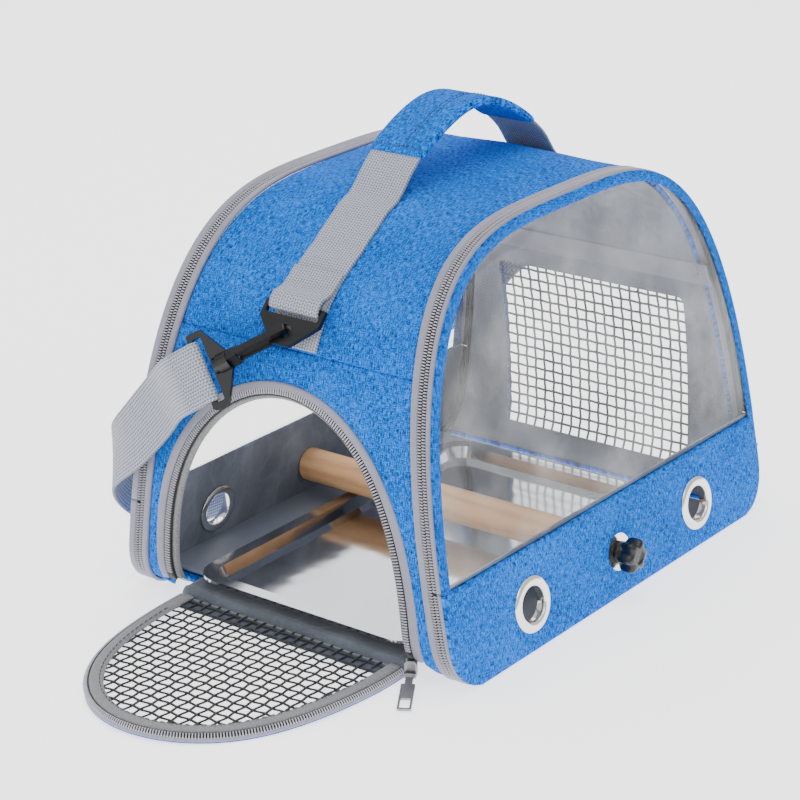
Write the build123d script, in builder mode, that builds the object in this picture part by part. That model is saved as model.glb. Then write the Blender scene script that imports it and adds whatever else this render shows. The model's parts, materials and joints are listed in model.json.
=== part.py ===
from build123d import *

import os
from math import atan, cos, radians, sin, tan

os.makedirs("parts", exist_ok=True)

# Soft-sided travel carrier for a bird. All lengths are in millimetres.
# +X runs from the door end to the far end, +Y from the front window to the
# back window, +Z up. The origin is the centre of the base's underside.

# ---------------------------------------------------------------- body form
length = 346.0              # widest level, end to end
base_width = 271.0          # window face to window face at the floor
arch_height = 260.0         # floor to crown
belly_height = 37.0         # height of the widest level
foot_length = 280.0         # flat stretch of the base
toe_power = 2.5             # squareness of the turn from base to end wall
flank_power = 3.72          # squareness of the arch, end wall side
crown_power = 2.39          # squareness of the arch, crown side
face_lean = 8.53            # degrees that each window face leans inwards
shell_thickness = 4.0       # padded outer panels
lining_thickness = 1.0
door_end_seam_height = 185.0
far_end_seam_height = 166.0

# ------------------------------------------------- window panels and zips
panel_thickness = 3.0       # measured along Y
band_height = 65.0          # stiff lower band, floor to its top edge
border_width = 7.0          # fabric border round the clear window
clear_sheet_thickness = 1.0
clear_sheet_depth = 1.0     # skin to sheet
zip_width = 16.5            # window face to the seam behind the piping
chain_middle = 8.5          # window face to the middle of the zip's chain
chain_half_width = 3.0
chain_rise = 0.8            # chain proud of the tape
tape_thickness = 1.5
piping_width = 2.5
piping_rise = 1.2
part_gap = 0.3              # running gap between pieces that separate
zip_end_height = 0.4        # lowest point of the zips

# --------------------------------------------------------------- eyelets
eyelet_spacing = 185.4
eyelet_height = 29.5        # also the perch's height
eyelet_radius = 18.0
eyelet_bore_radius = 11.25
eyelet_barrel_wall = 1.2
eyelet_rise = 1.6
eyelet_washer_radius = 16.5
fit_gap = 0.1

# ----------------------------------------------------------------- perch
perch_diameter = 23.0
stud_diameter = 6.0
stud_depth = 16.0           # stud inside the perch
stud_clearance = 0.2
knob_radius = 9.5
knob_lobes = 6
knob_lobe_radius = 3.4
knob_height = 12.0
knob_collar_radius = 7.5
knob_stand_off = 3.2        # washer face to the knob's underside
perch_washer_radius = 12.0
perch_washer_thickness = 1.2

# ---------------------------------------------------------- doorway, door
hinge_x = -165.0
hinge_height = 4.0
hinge_bead_radius = 1.5
doorway_half_width = 94.0
doorway_top = 157.5
doorway_seam_half_width = 106.0
doorway_seam_top = 165.5
doorway_power = 2.6
doorway_chain_width = 3.0
binding_overlap = 1.6       # felt binding inside the doorway's edge
door_gap = 2.5              # door edge to doorway edge, all round
door_thickness = 6.8
door_start = 1.8            # door's inner edge, measured from the hinge axis
door_rim_wall = 1.6
door_chain_height = 1.4
door_trim_height = 1.0
door_trim_width = 4.0
binding_width = 9.0
binding_thickness = 1.6
hem_width = 16.0
sill_rise = 7.6             # top of the threshold
mesh_pitch = 7.7
strand_width = 1.4
strand_height = 0.8
layer_gap = 0.02            # between the mesh's two layers of cords

# ------------------------------------------------------- far mesh window
vent_half_width = 80.0
vent_bottom = 14.0
vent_top = 147.0
vent_corner = 8.0

# ---------------------------------------------------------- board, tray
board_thickness = 3.0
board_gap = 0.3
tray_start = -160.0         # door end of the rim
tray_length = 280.0
tray_width = 180.0
tray_height = 8.5
tray_sheet = 0.8
tray_corner = 20.0
tray_rim = 8.0
tray_draft = 20.0           # degrees
tray_clearance = 0.3
tray_lip = 2.0

# --------------------------------------------------------------- webbing
webbing_width = 38.0
webbing_thickness = 1.8
webbing_seat = 0.1          # webbing to skin
handle_near_foot = -72.0
handle_far_foot = 96.0
handle_toe_lift = 1.2       # extra rise where the stitching ends
handle_rise = 43.0          # crown to the top of the handle
handle_top_x = 12.0
handle_near_drop = 22.0     # handle's top to its line at the sleeve's ends
handle_far_drop = 26.0
handle_shoulder_drop = 6.0
handle_shoulder_step = 30.0 # handle's top to its shoulders, along X
sleeve_near_end = -48.0
sleeve_far_end = 69.0
sleeve_width = 42.0
sleeve_thickness = 6.0

# ----------------------------------------------- strap loops, snap hooks
loop_height = 207.0         # loop bar, floor to axis
loop_tilt = 12.0            # degrees that the loop stands off the wall
loop_plate = 3.0
loop_bar = 3.2
loop_width = 46.0
loop_slot_width = 40.5
loop_slot_length = 4.8
loop_shoulder = 9.0
loop_tip = 25.0
loop_tip_half_width = 7.0
loop_hole_radius = 4.6
loop_hole_drop = 16.0       # bar axis to hole
fold_radius = 4.2
fold_bore = 2.4
keeper_length = 20.0
hook_angle = 39.5           # degrees, hook axis below the loop's bar
hook_thickness = 4.5
hook_bar = 4.0
hook_nose = 2.2             # half the nose's thickness
hook_gap = 0.4              # loop plate to hook
hook_tip_thickness = 2.8
hook_tip_length = 12.0
hook_neck_start = 33.0
hook_neck_end = 39.0
gate_gap = 0.6
gate_thickness = 2.2
gate_width = 3.6
gate_pin_radius = 0.9
shank_radius = 3.0
shank_length = 8.0
shank_head_radius = 5.0
shank_head_length = 2.6
collar_radius = 6.2
ring_plate = 3.2
ring_turn = 25.0            # degrees that the ring is swivelled out of the loop's plane
ring_half_width = 24.5
ring_slot_half_width = 20.5
ring_slot_length = 6.0
ring_bar = 3.2
swivel_clearance = 0.1
swivel_play = 0.4

# --------------------------------------------------------- shoulder strap
strap_thickness = 2.0
strap_tail = 10.0           # straight stretch beyond the fold round the ring
strap_middle_height = 22.8  # clears the floor behind the bag
strap_back_clearance = 21.5   # strap's stand-off behind the bag, at its middle
adjuster_length = 22.0
adjuster_wall = 1.8
adjuster_clearance = 0.5

# ---------------------------------------------------------- zip hardware
slider_width = 8.0
slider_length = 11.0
slider_thickness = 4.2
slider_gap = 0.5            # slider to the chain
pull_length = 31.0
pull_width = 8.6
pull_thickness = 1.6
pull_window_length = 8.5
pull_frame = 1.3
pin_radius = 1.0
barrel_radius = 2.0
barrel_length = 4.6
post_thickness = 1.2
pin_clearance = 0.08
door_slider_y = -98.2
door_slider_height = 10.5
door_pull_drop = 12.0       # degrees below level
door_pull_turn = 31.0       # degrees from -X towards -Y
window_slider_height = 42.0

# ------------------------------------------------------- derived values
FRONT, BACK = -1, 1
lean_tan = tan(radians(face_lean))
lean_cos = cos(radians(face_lean))
lean_sin = sin(radians(face_lean))
reach = length              # longer than any cut has to go
handle_top = arch_height + handle_rise
inner_skin = shell_thickness + lining_thickness
zip_edge = chain_middle + part_gap / 2
board_top = inner_skin + board_thickness
tray_floor = board_top + tray_clearance
doorway_height = doorway_top - hinge_height
doorway_seam_height = doorway_seam_top - hinge_height
door_half_width = doorway_half_width - door_gap
door_height = doorway_height - door_gap
door_bottom = hinge_height - door_thickness / 2
door_top = hinge_height + door_thickness / 2
eyelet_total = eyelet_rise + (panel_thickness + lining_thickness) * lean_cos + fit_gap + eyelet_barrel_wall
pieces = {}


def flank_x(z, inset=0.0):
    """Half length of the arch at height z, for heights above the belly."""
    rise = arch_height - belly_height - inset
    share = 1 - ((z - belly_height) / rise) ** crown_power
    return (length / 2 - inset) * share ** (1 / flank_power)


def crown_z(x, inset=0.0):
    """Height of the arch over x, for the part above the belly."""
    rise = arch_height - belly_height - inset
    share = 1 - (abs(x) / (length / 2 - inset)) ** flank_power
    return belly_height + rise * share ** (1 / crown_power)


def flank_slope(z):
    """Lean of the end wall from upright at height z, in radians."""
    return atan((flank_x(z - 1) - flank_x(z + 1)) / 2)


def face_y(z, depth):
    """Distance from the middle plane to a surface `depth` inside a window face."""
    return base_width / 2 - depth - z * lean_tan


def face_plane(side, depth):
    """Plane parallel to a window face, `depth` inside it, with its normal out."""
    return Plane(
        origin=(0, side * (base_width / 2 - depth), 0),
        x_dir=(-side, 0, 0),
        z_dir=(0, side * lean_cos, lean_sin),
    )


def arch_line(inset):
    """The bag's arch: flat base, rounded toes and a flattened superellipse."""
    foot = foot_length / 2
    toe = length / 2 - foot - inset
    drop = belly_height - inset
    flank = length / 2 - inset
    rise = arch_height - belly_height - inset
    toe_curve = [
        (foot + toe * cos(a) ** (2 / toe_power), belly_height - drop * sin(a) ** (2 / toe_power))
        for a in (radians(d) for d in (90, 60, 30, 0))
    ]
    flank_curve = [
        (flank * cos(a) ** (2 / flank_power), belly_height + rise * sin(a) ** (2 / crown_power))
        for a in (radians(d) for d in (0, 14, 28, 42, 56, 70, 82))
    ]
    other_flank = [(-x, z) for x, z in reversed(flank_curve)]
    other_toe = [(-x, z) for x, z in reversed(toe_curve)]
    Spline(*toe_curve, tangents=((1, 0), (0, 1)))
    Spline(*flank_curve, (0, arch_height - inset), *other_flank, tangents=((0, 1), (0, -1)))
    Spline(*other_toe, tangents=((0, -1), (1, 0)))
    Line(other_toe[-1], toe_curve[0])


def arch_block(outer, inner):
    """The arch drawn out along Y, hollow where an inner inset is given."""
    with BuildPart() as block:
        with BuildSketch(Plane.XZ):
            with BuildLine():
                arch_line(outer)
            make_face()
            if inner is not None:
                with BuildLine():
                    arch_line(inner)
                make_face(mode=Mode.SUBTRACT)
        extrude(amount=base_width / 2 + shell_thickness, both=True)
    return block.part


def tunnel(outer, inner, depth):
    """Sleeve between two insets, ending `depth` inside both window faces."""
    with BuildPart() as sleeve:
        add(arch_block(outer, inner))
        for side in (FRONT, BACK):
            split(bisect_by=face_plane(side, depth), keep=Keep.BOTTOM)
    return sleeve.part


def face_slice(outer, inner, side, shallow, deep):
    """Slice of the arch parallel to one window face, between two depths."""
    with BuildPart() as slice_part:
        add(arch_block(outer, inner))
        split(bisect_by=face_plane(side, shallow), keep=Keep.BOTTOM)
        split(bisect_by=face_plane(side, deep), keep=Keep.TOP)
    return slice_part.part


def doorway_line(half_width, height):
    """Doorway arch on the local X axis: one superellipse, closed by its sill."""
    flank = [
        (half_width * cos(a), height * sin(a) ** (2 / doorway_power))
        for a in (radians(d) for d in range(0, 90, 15))
    ]
    other = [(-x, z) for x, z in reversed(flank)]
    Spline(*flank, (0, height), *other, tangents=((0, 1), (0, -1)))
    Line(other[-1], flank[0])


def doorway_block(half_width, height):
    """The doorway's outline drawn through the door end wall."""
    sill = Plane(origin=(-length, 0, hinge_height), x_dir=(0, 1, 0), z_dir=(1, 0, 0))
    with BuildPart() as block:
        with BuildSketch(sill):
            with BuildLine():
                doorway_line(half_width, height)
            make_face()
        extrude(amount=length - foot_length / 2)
    return block.part


def shell_patch(block, outer, inner):
    """The part of a block that lies between two insets of the arch."""
    with BuildPart() as patch:
        add(block)
        add(arch_block(outer, inner), mode=Mode.INTERSECT)
    return patch.part


def strands(plane, middle, size, columns, rows, outer, inner):
    """One layer of mesh cords: a row of bars cut to the wall's curve."""
    with BuildPart() as layer:
        with BuildSketch(plane):
            with Locations(middle):
                with GridLocations(mesh_pitch, mesh_pitch, columns, rows):
                    Rectangle(*size)
        extrude(amount=reach)
        add(arch_block(outer, inner), mode=Mode.INTERSECT)
    return layer.part


def trim_zip_feet(block_half_length):
    """Cut a zip's hoop off under the flat base and just above the floor."""
    split(bisect_by=Plane.XY.offset(zip_end_height), keep=Keep.TOP)
    with Locations((0, 0, 0)):
        Box(2 * block_half_length, 2 * base_width, 2 * belly_height, mode=Mode.SUBTRACT)


# ------------------------------------------------------------ outer shell
with BuildPart() as gusset:
    add(tunnel(0, shell_thickness, zip_edge))
    for side in (FRONT, BACK):
        add(face_slice(-chain_rise, tape_thickness, side, 0, zip_width), mode=Mode.SUBTRACT)

with BuildPart() as base_panel:
    with BuildSketch():
        Rectangle(foot_length, base_width)
    extrude(amount=shell_thickness)
    for side in (FRONT, BACK):
        split(bisect_by=face_plane(side, panel_thickness), keep=Keep.BOTTOM)
pieces["base_panel"] = base_panel

seam_block = doorway_block(doorway_seam_half_width, doorway_seam_height)
opening_block = doorway_block(doorway_half_width, doorway_height)
bound_block = doorway_block(
    doorway_half_width + binding_overlap, doorway_height + binding_overlap
)

doorway_chain_block = doorway_block(
    doorway_half_width + binding_overlap + doorway_chain_width,
    doorway_height + binding_overlap + doorway_chain_width,
)

with BuildPart() as door_end_panel:
    add(gusset.part)
    split(bisect_by=Plane.YZ.offset(-foot_length / 2), keep=Keep.BOTTOM)
    split(bisect_by=Plane.XY.offset(door_end_seam_height), keep=Keep.BOTTOM)
    add(bound_block, mode=Mode.SUBTRACT)
    add(shell_patch(seam_block, -chain_rise, tape_thickness), mode=Mode.SUBTRACT)
pieces["door_end_panel"] = door_end_panel

with BuildPart() as vent_block:
    with BuildSketch(Plane.YZ):
        with Locations((0, (vent_bottom + vent_top) / 2)):
            RectangleRounded(2 * vent_half_width, vent_top - vent_bottom, vent_corner)
    extrude(amount=reach)

with BuildPart() as far_end_panel:
    add(gusset.part)
    split(bisect_by=Plane.YZ.offset(foot_length / 2), keep=Keep.TOP)
    split(bisect_by=Plane.XY.offset(far_end_seam_height), keep=Keep.BOTTOM)
    add(vent_block.part, mode=Mode.SUBTRACT)
pieces["far_end_panel"] = far_end_panel

with BuildPart() as top_panel:
    add(gusset.part)
    for sign, seam in ((-1, door_end_seam_height), (1, far_end_seam_height)):
        with Locations((sign * length / 2, 0, seam - reach / 2)):
            Box(length, 2 * base_width, reach, mode=Mode.SUBTRACT)
pieces["top_panel"] = top_panel

with BuildPart() as lining:
    add(tunnel(shell_thickness, inner_skin, zip_edge))
    add(bound_block, mode=Mode.SUBTRACT)
    add(vent_block.part, mode=Mode.SUBTRACT)
pieces["lining"] = lining

# ------------------------------------------------------- far mesh window
vent_rows = int((vent_top - vent_bottom) / mesh_pitch)
vent_columns = int(2 * vent_half_width / mesh_pitch)
vent_middle = (0, (vent_bottom + vent_top) / 2)
inner_layer = tape_thickness + strand_height + layer_gap
with BuildPart() as vent_mesh:
    add(strands(
        Plane.YZ, vent_middle, (strand_width, vent_top - vent_bottom), vent_columns, 1,
        tape_thickness, tape_thickness + strand_height,
    ))
    add(strands(
        Plane.YZ, vent_middle, (2 * vent_half_width, strand_width), 1, vent_rows,
        inner_layer, inner_layer + strand_height,
    ))
    add(vent_block.part, mode=Mode.INTERSECT)
pieces["vent_mesh"] = vent_mesh

# ------------------------------------------------- window faces, both sides
for side, word in ((FRONT, "front"), (BACK, "back")):
    face = face_plane(side, 0)
    eyelet_up = eyelet_height / lean_cos

    with BuildPart() as band:
        add(face_slice(0, None, side, 0, panel_thickness))
        split(bisect_by=Plane.XY.offset(band_height), keep=Keep.BOTTOM)
        with BuildSketch(face.offset(reach / 2)):
            with Locations((0, eyelet_up)):
                with GridLocations(eyelet_spacing, 1, 2, 1):
                    Circle(eyelet_bore_radius + eyelet_barrel_wall + fit_gap)
        extrude(amount=-reach, mode=Mode.SUBTRACT)
        with Locations(Plane(origin=(0, 0, eyelet_height), z_dir=(0, side, 0))):
            Cylinder(stud_diameter / 2 + stud_clearance, 2 * base_width, mode=Mode.SUBTRACT)
    pieces[f"{word}_band"] = band

    with BuildPart() as band_lining:
        add(face_slice(inner_skin, None, side, panel_thickness, panel_thickness + lining_thickness))
        split(bisect_by=Plane.XY.offset(band_height), keep=Keep.BOTTOM)
        with BuildSketch(face.offset(reach / 2)):
            with Locations((0, eyelet_up)):
                with GridLocations(eyelet_spacing, 1, 2, 1):
                    Circle(eyelet_bore_radius + eyelet_barrel_wall + fit_gap)
        extrude(amount=-reach, mode=Mode.SUBTRACT)
        with Locations(Plane(origin=(0, 0, eyelet_height), z_dir=(0, side, 0))):
            Cylinder(stud_diameter / 2 + stud_clearance, 2 * base_width, mode=Mode.SUBTRACT)
    pieces[f"{word}_band_lining"] = band_lining

    with BuildPart() as window_border:
        add(face_slice(0, border_width, side, 0, panel_thickness))
        split(bisect_by=Plane.XY.offset(band_height + part_gap), keep=Keep.TOP)
    pieces[f"{word}_window_border"] = window_border

    with BuildPart() as clear_window:
        sheet_back = clear_sheet_depth + clear_sheet_thickness
        add(face_slice(border_width, None, side, clear_sheet_depth, sheet_back))
        split(bisect_by=Plane.XY.offset(band_height + part_gap), keep=Keep.TOP)
    pieces[f"{word}_clear_window"] = clear_window

    # The zip's outer half: along the moving window above the band's top edge,
    # and along the fixed band below it.
    with BuildPart() as outer_zip:
        outer_edge = chain_middle - part_gap / 2
        add(face_slice(0, tape_thickness, side, panel_thickness, outer_edge))
        add(face_slice(-chain_rise, 0, side, chain_middle - chain_half_width, outer_edge))
        trim_zip_feet(foot_length / 2)
    with BuildPart() as window_zip:
        add(outer_zip.part)
        split(bisect_by=Plane.XY.offset(band_height + part_gap), keep=Keep.TOP)
    pieces[f"{word}_window_zip"] = window_zip
    with BuildPart() as band_zip:
        add(outer_zip.part)
        split(bisect_by=Plane.XY.offset(band_height), keep=Keep.BOTTOM)
    pieces[f"{word}_band_zip"] = band_zip

    with BuildPart() as body_zip:
        add(face_slice(0, tape_thickness, side, zip_edge, zip_width - piping_width))
        add(face_slice(-chain_rise, 0, side, zip_edge, chain_middle + chain_half_width))
        trim_zip_feet(foot_length / 2)
    pieces[f"{word}_body_zip"] = body_zip

    with BuildPart() as piping:
        add(face_slice(-piping_rise, tape_thickness, side, zip_width - piping_width, zip_width))
        trim_zip_feet(foot_length / 2)
    pieces[f"{word}_piping"] = piping

    with BuildPart() as eyelets:
        inner_face = (panel_thickness + lining_thickness) * lean_cos + fit_gap
        for start, thickness, radius in (
            (0, eyelet_rise, eyelet_radius),
            (-inner_face - eyelet_barrel_wall, inner_face + eyelet_barrel_wall,
             eyelet_bore_radius + eyelet_barrel_wall),
            (-inner_face - eyelet_barrel_wall, eyelet_barrel_wall, eyelet_washer_radius),
        ):
            with BuildSketch(face.offset(start)):
                with Locations((0, eyelet_up)):
                    with GridLocations(eyelet_spacing, 1, 2, 1):
                        Circle(radius)
            extrude(amount=thickness)
        rim = eyelets.faces().sort_by(Axis(face.origin, face.z_dir))[-2:]
        fillet(rim.edges(), eyelet_rise * 0.6)
        with BuildSketch(face.offset(eyelet_rise)):
            with Locations((0, eyelet_up)):
                with GridLocations(eyelet_spacing, 1, 2, 1):
                    Circle(eyelet_bore_radius)
        extrude(amount=-2 * eyelet_total, mode=Mode.SUBTRACT)
    pieces[f"{word}_eyelets"] = eyelets

    # Clamping knob with its stud, turning about Y in the band and the perch.
    skin_y = face_y(eyelet_height, 0)
    knob_base = skin_y + perch_washer_thickness + knob_stand_off
    perch_end = face_y(eyelet_height + perch_diameter / 2, panel_thickness + lining_thickness)
    knob_plane = Plane(origin=(0, side * knob_base, eyelet_height), z_dir=(0, side, 0))
    with BuildPart() as knob:
        with BuildSketch(knob_plane):
            Circle(knob_radius)
            with PolarLocations(knob_radius - knob_lobe_radius / 3, knob_lobes):
                Circle(knob_lobe_radius)
        extrude(amount=knob_height)
        fillet(knob.faces().sort_by(Axis((0, 0, 0), (0, side, 0)))[-1].edges(), 1.4)
        with BuildSketch(knob_plane):
            Circle(knob_collar_radius)
        extrude(amount=-(knob_stand_off - part_gap) / 2)
        with BuildSketch(knob_plane):
            Circle(stud_diameter / 2)
        extrude(amount=-(knob_base - perch_end + stud_depth))
    pieces[f"{word}_perch_knob"] = knob

    with BuildPart() as washer:
        with BuildSketch(face):
            with Locations((0, eyelet_up)):
                Circle(perch_washer_radius)
        extrude(amount=perch_washer_thickness)
        with Locations(Plane(origin=(0, 0, eyelet_height), z_dir=(0, side, 0))):
            Cylinder(stud_diameter / 2 + stud_clearance, 2 * base_width, mode=Mode.SUBTRACT)
    pieces[f"{word}_perch_washer"] = washer

with BuildPart() as perch:
    with BuildSketch(Plane(origin=(0, 0, eyelet_height), z_dir=(0, 1, 0))):
        Circle(perch_diameter / 2)
    extrude(amount=perch_end - fit_gap, both=True)
    chamfer(perch.edges().filter_by(GeomType.CIRCLE), 1.0)
    for side in (FRONT, BACK):
        end = Plane(origin=(0, side * perch_end, eyelet_height), z_dir=(0, -side, 0))
        with BuildSketch(end):
            Circle(stud_diameter / 2 + stud_clearance)
        extrude(amount=stud_depth + 4 * stud_clearance, mode=Mode.SUBTRACT)
pieces["perch"] = perch

# ------------------------------------------------ doorway and threshold
with BuildPart() as doorway_zip:
    add(seam_block)
    add(arch_block(0, tape_thickness), mode=Mode.INTERSECT)
    add(shell_patch(doorway_chain_block, -chain_rise, tape_thickness))
    add(bound_block, mode=Mode.SUBTRACT)
pieces["doorway_zip"] = doorway_zip

with BuildPart() as doorway_binding:
    add(bound_block)
    add(arch_block(0, inner_skin), mode=Mode.INTERSECT)
    add(opening_block, mode=Mode.SUBTRACT)
    split(bisect_by=Plane.XY.offset(sill_rise), keep=Keep.TOP)
pieces["doorway_binding"] = doorway_binding

with BuildPart() as threshold:
    toe_x = -foot_length / 2 - board_gap
    lip_x = hinge_x + hinge_bead_radius + 2.6
    with BuildSketch(Plane.XZ):
        with BuildLine():
            Polyline(
                (toe_x, shell_thickness + fit_gap),
                (toe_x, sill_rise),
                (lip_x + 3.2, sill_rise),
                (lip_x, hinge_height + 1.0),
                (hinge_x, hinge_height + 1.0),
                (hinge_x, hinge_height - 1.0),
                (lip_x - 0.6, hinge_height - 1.0),
                (lip_x - 0.6, shell_thickness + fit_gap),
                close=True,
            )
        make_face()
        with Locations((hinge_x, hinge_height)):
            Circle(hinge_bead_radius)
    extrude(amount=doorway_half_width - door_gap, both=True)
pieces["door_threshold"] = threshold


# ------------------------------------------- door, lying open on the floor
def door_plane(z):
    """Plane of the open door at height z: local Y runs out from the hinge."""
    return Plane(origin=(hinge_x, 0, z), x_dir=(0, 1, 0), z_dir=(0, 0, 1))


def door_ring(z, thickness, outer, inner):
    """Layer of the door between two insets of its outline, clear of the hinge."""
    with BuildPart() as layer:
        with BuildSketch(door_plane(z)):
            with BuildLine():
                doorway_line(door_half_width - outer, door_height - outer)
            make_face()
            if inner is not None:
                with BuildLine():
                    doorway_line(door_half_width - inner, door_height - inner)
                make_face(mode=Mode.SUBTRACT)
        extrude(amount=thickness)
        split(bisect_by=Plane.YZ.offset(hinge_x - door_start), keep=Keep.BOTTOM)
    return layer.part


chain_base = door_top - door_chain_height
binding_base = chain_base - 0.6
mesh_base = binding_base - strand_height
with BuildPart() as door_trim:
    add(door_ring(door_bottom, door_trim_height, 0, door_trim_width))
pieces["door_trim"] = door_trim

with BuildPart() as door_zip:
    tape_bottom = door_bottom + door_trim_height
    add(door_ring(tape_bottom, chain_base - tape_bottom, 0, door_rim_wall))
    add(door_ring(chain_base, door_chain_height, 0, chain_half_width))
pieces["door_zip"] = door_zip

with BuildPart() as door_binding:
    add(door_ring(binding_base, binding_thickness, door_rim_wall, chain_half_width + binding_width))
    add(door_ring(chain_base, door_chain_height, 0, chain_half_width), mode=Mode.SUBTRACT)
pieces["door_binding"] = door_binding

with BuildPart() as door_hem:
    add(door_ring(mesh_base - 1.0, 1.0, door_rim_wall, None))
    with Locations((hinge_x - door_start - hem_width - reach / 2, 0, 0)):
        Box(reach, 2 * base_width, reach, mode=Mode.SUBTRACT)
    strip_thickness = chain_base - mesh_base
    with Locations((hinge_x - door_start - 2, 0, mesh_base + strip_thickness / 2)):
        Box(4, 2 * (door_half_width - binding_width - 4), strip_thickness)
pieces["door_hem"] = door_hem



def door_strands(base, height, columns, rows, size):
    """One layer of the door's mesh cords, inside its binding."""
    with BuildPart() as layer:
        with BuildSketch(door_plane(base)):
            with Locations((0, first_cord + door_height / 2)):
                with GridLocations(mesh_pitch, mesh_pitch, columns, rows):
                    Rectangle(*size)
        extrude(amount=height)
        add(door_ring(base, height, mesh_inset, None), mode=Mode.INTERSECT)
        with Locations((hinge_x - first_cord + reach / 2, 0, 0)):
            Box(reach, 2 * base_width, reach, mode=Mode.SUBTRACT)
    return layer.part


mesh_inset = chain_half_width + 0.6
lattice_height = strand_height / 2 - layer_gap
first_cord = door_start + 5.0
door_rows = int(door_height / mesh_pitch)
door_columns = int(2 * door_half_width / mesh_pitch)
with BuildPart() as door_mesh:
    add(door_strands(mesh_base, lattice_height, door_columns, 1, (strand_width, door_height)))
    add(door_strands(
        mesh_base + strand_height / 2, lattice_height, 1, door_rows,
        (2 * door_half_width, strand_width),
    ))
pieces["door_mesh"] = door_mesh

# ------------------------------------------------------- board and tray
with BuildPart() as base_board:
    with BuildSketch(Plane.XY.offset(inner_skin)):
        board_width = 2 * (face_y(board_top, panel_thickness + lining_thickness) - board_gap)
        RectangleRounded(foot_length - 2 * board_gap, board_width, 6)
    extrude(amount=board_thickness)
pieces["base_board"] = base_board

tray_middle = tray_start + tray_length / 2
tray_flare = (tray_height - tray_sheet) * tan(radians(tray_draft))
tray_pan_length = tray_length - 2 * tray_rim - 2 * tray_flare
tray_pan_width = tray_width - 2 * tray_rim - 2 * tray_flare
with BuildPart() as tray:
    with BuildSketch(Plane.XY.offset(tray_floor)):
        with Locations((tray_middle, 0)):
            RectangleRounded(tray_pan_length, tray_pan_width, tray_corner - tray_rim)
    extrude(amount=tray_height, taper=-tray_draft)
    with BuildSketch(Plane.XY.offset(tray_floor + tray_height - tray_sheet)):
        with Locations((tray_middle, 0)):
            RectangleRounded(tray_length, tray_width, tray_corner)
    extrude(amount=tray_sheet)
    with BuildSketch(Plane.XY.offset(tray_floor + tray_height - tray_lip)):
        with Locations((tray_middle, 0)):
            RectangleRounded(tray_length, tray_width, tray_corner)
            RectangleRounded(
                tray_length - 2 * tray_sheet, tray_width - 2 * tray_sheet, tray_corner - tray_sheet,
                mode=Mode.SUBTRACT,
            )
    extrude(amount=tray_lip)
    with BuildSketch(Plane.XY.offset(tray_floor + tray_sheet)):
        with Locations((tray_middle, 0)):
            RectangleRounded(
                tray_pan_length - 2 * tray_sheet, tray_pan_width - 2 * tray_sheet,
                tray_corner - tray_rim - tray_sheet,
            )
    extrude(amount=tray_height, taper=-tray_draft, mode=Mode.SUBTRACT)
pieces["tray"] = tray

# ------------------------------------------------------ carrying handle
def skin_point(x, lift):
    """Point over the crown at x, `lift` off the skin."""
    return (x, crown_z(x, -lift))


lift = webbing_seat + webbing_thickness / 2
foot_x = flank_x(door_end_seam_height + 2, -lift)
far_foot_x = flank_x(far_end_seam_height + 2, -lift)
stitched = 12               # points along each stitched stretch
near_step = (foot_x + handle_near_foot) / stitched
far_step = (far_foot_x - handle_far_foot) / stitched
handle_near = [skin_point(-foot_x + near_step * i, lift) for i in range(stitched)]
handle_near.append(skin_point(handle_near_foot, lift + handle_toe_lift))
handle_far = [skin_point(handle_far_foot, lift + handle_toe_lift)]
handle_far += [skin_point(handle_far_foot + far_step * i, lift) for i in range(1, stitched + 1)]
handle_route = [
    *handle_near,
    (sleeve_near_end, handle_top - handle_near_drop),
    (handle_top_x - handle_shoulder_step, handle_top - handle_shoulder_drop),
    (handle_top_x, handle_top),
    (handle_top_x + handle_shoulder_step, handle_top - handle_shoulder_drop - 2),
    (sleeve_far_end, handle_top - handle_far_drop),
    *handle_far,
]
with BuildPart() as handle_webbing:
    with BuildSketch(Plane.XZ):
        with BuildLine():
            Spline(*handle_route)
        trace(line_width=webbing_thickness)
    extrude(amount=webbing_width / 2, both=True)
pieces["handle_webbing"] = handle_webbing

with BuildPart() as handle_sleeve:
    with BuildSketch(Plane.XZ):
        with BuildLine():
            Spline(*handle_route)
        trace(line_width=sleeve_thickness)
    extrude(amount=sleeve_width / 2, both=True)
    with BuildSketch(Plane.XZ):
        with BuildLine():
            Spline(*handle_route)
        trace(line_width=webbing_thickness + 2 * fit_gap)
    extrude(amount=webbing_width / 2 + fit_gap, both=True, mode=Mode.SUBTRACT)
    split(bisect_by=Plane.YZ.offset(sleeve_near_end), keep=Keep.TOP)
    split(bisect_by=Plane.YZ.offset(sleeve_far_end), keep=Keep.BOTTOM)
pieces["handle_sleeve"] = handle_sleeve

# ------------------------- strap loop and snap hook at the door end; the
# far end is their mirror image
wall_lean = flank_slope(loop_height)
bar_stand_off = webbing_seat + webbing_thickness + fit_gap + fold_radius
bar_x = -flank_x(loop_height) - bar_stand_off * cos(wall_lean)
bar_z = loop_height + bar_stand_off * sin(wall_lean)


def slope_plane(lean):
    """Plane through the loop's bar: local X is +Y, local Y runs down the wall."""
    return Plane(origin=(bar_x, 0, bar_z), x_dir=(0, 1, 0), z_dir=(-cos(lean), 0, sin(lean)))


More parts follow.
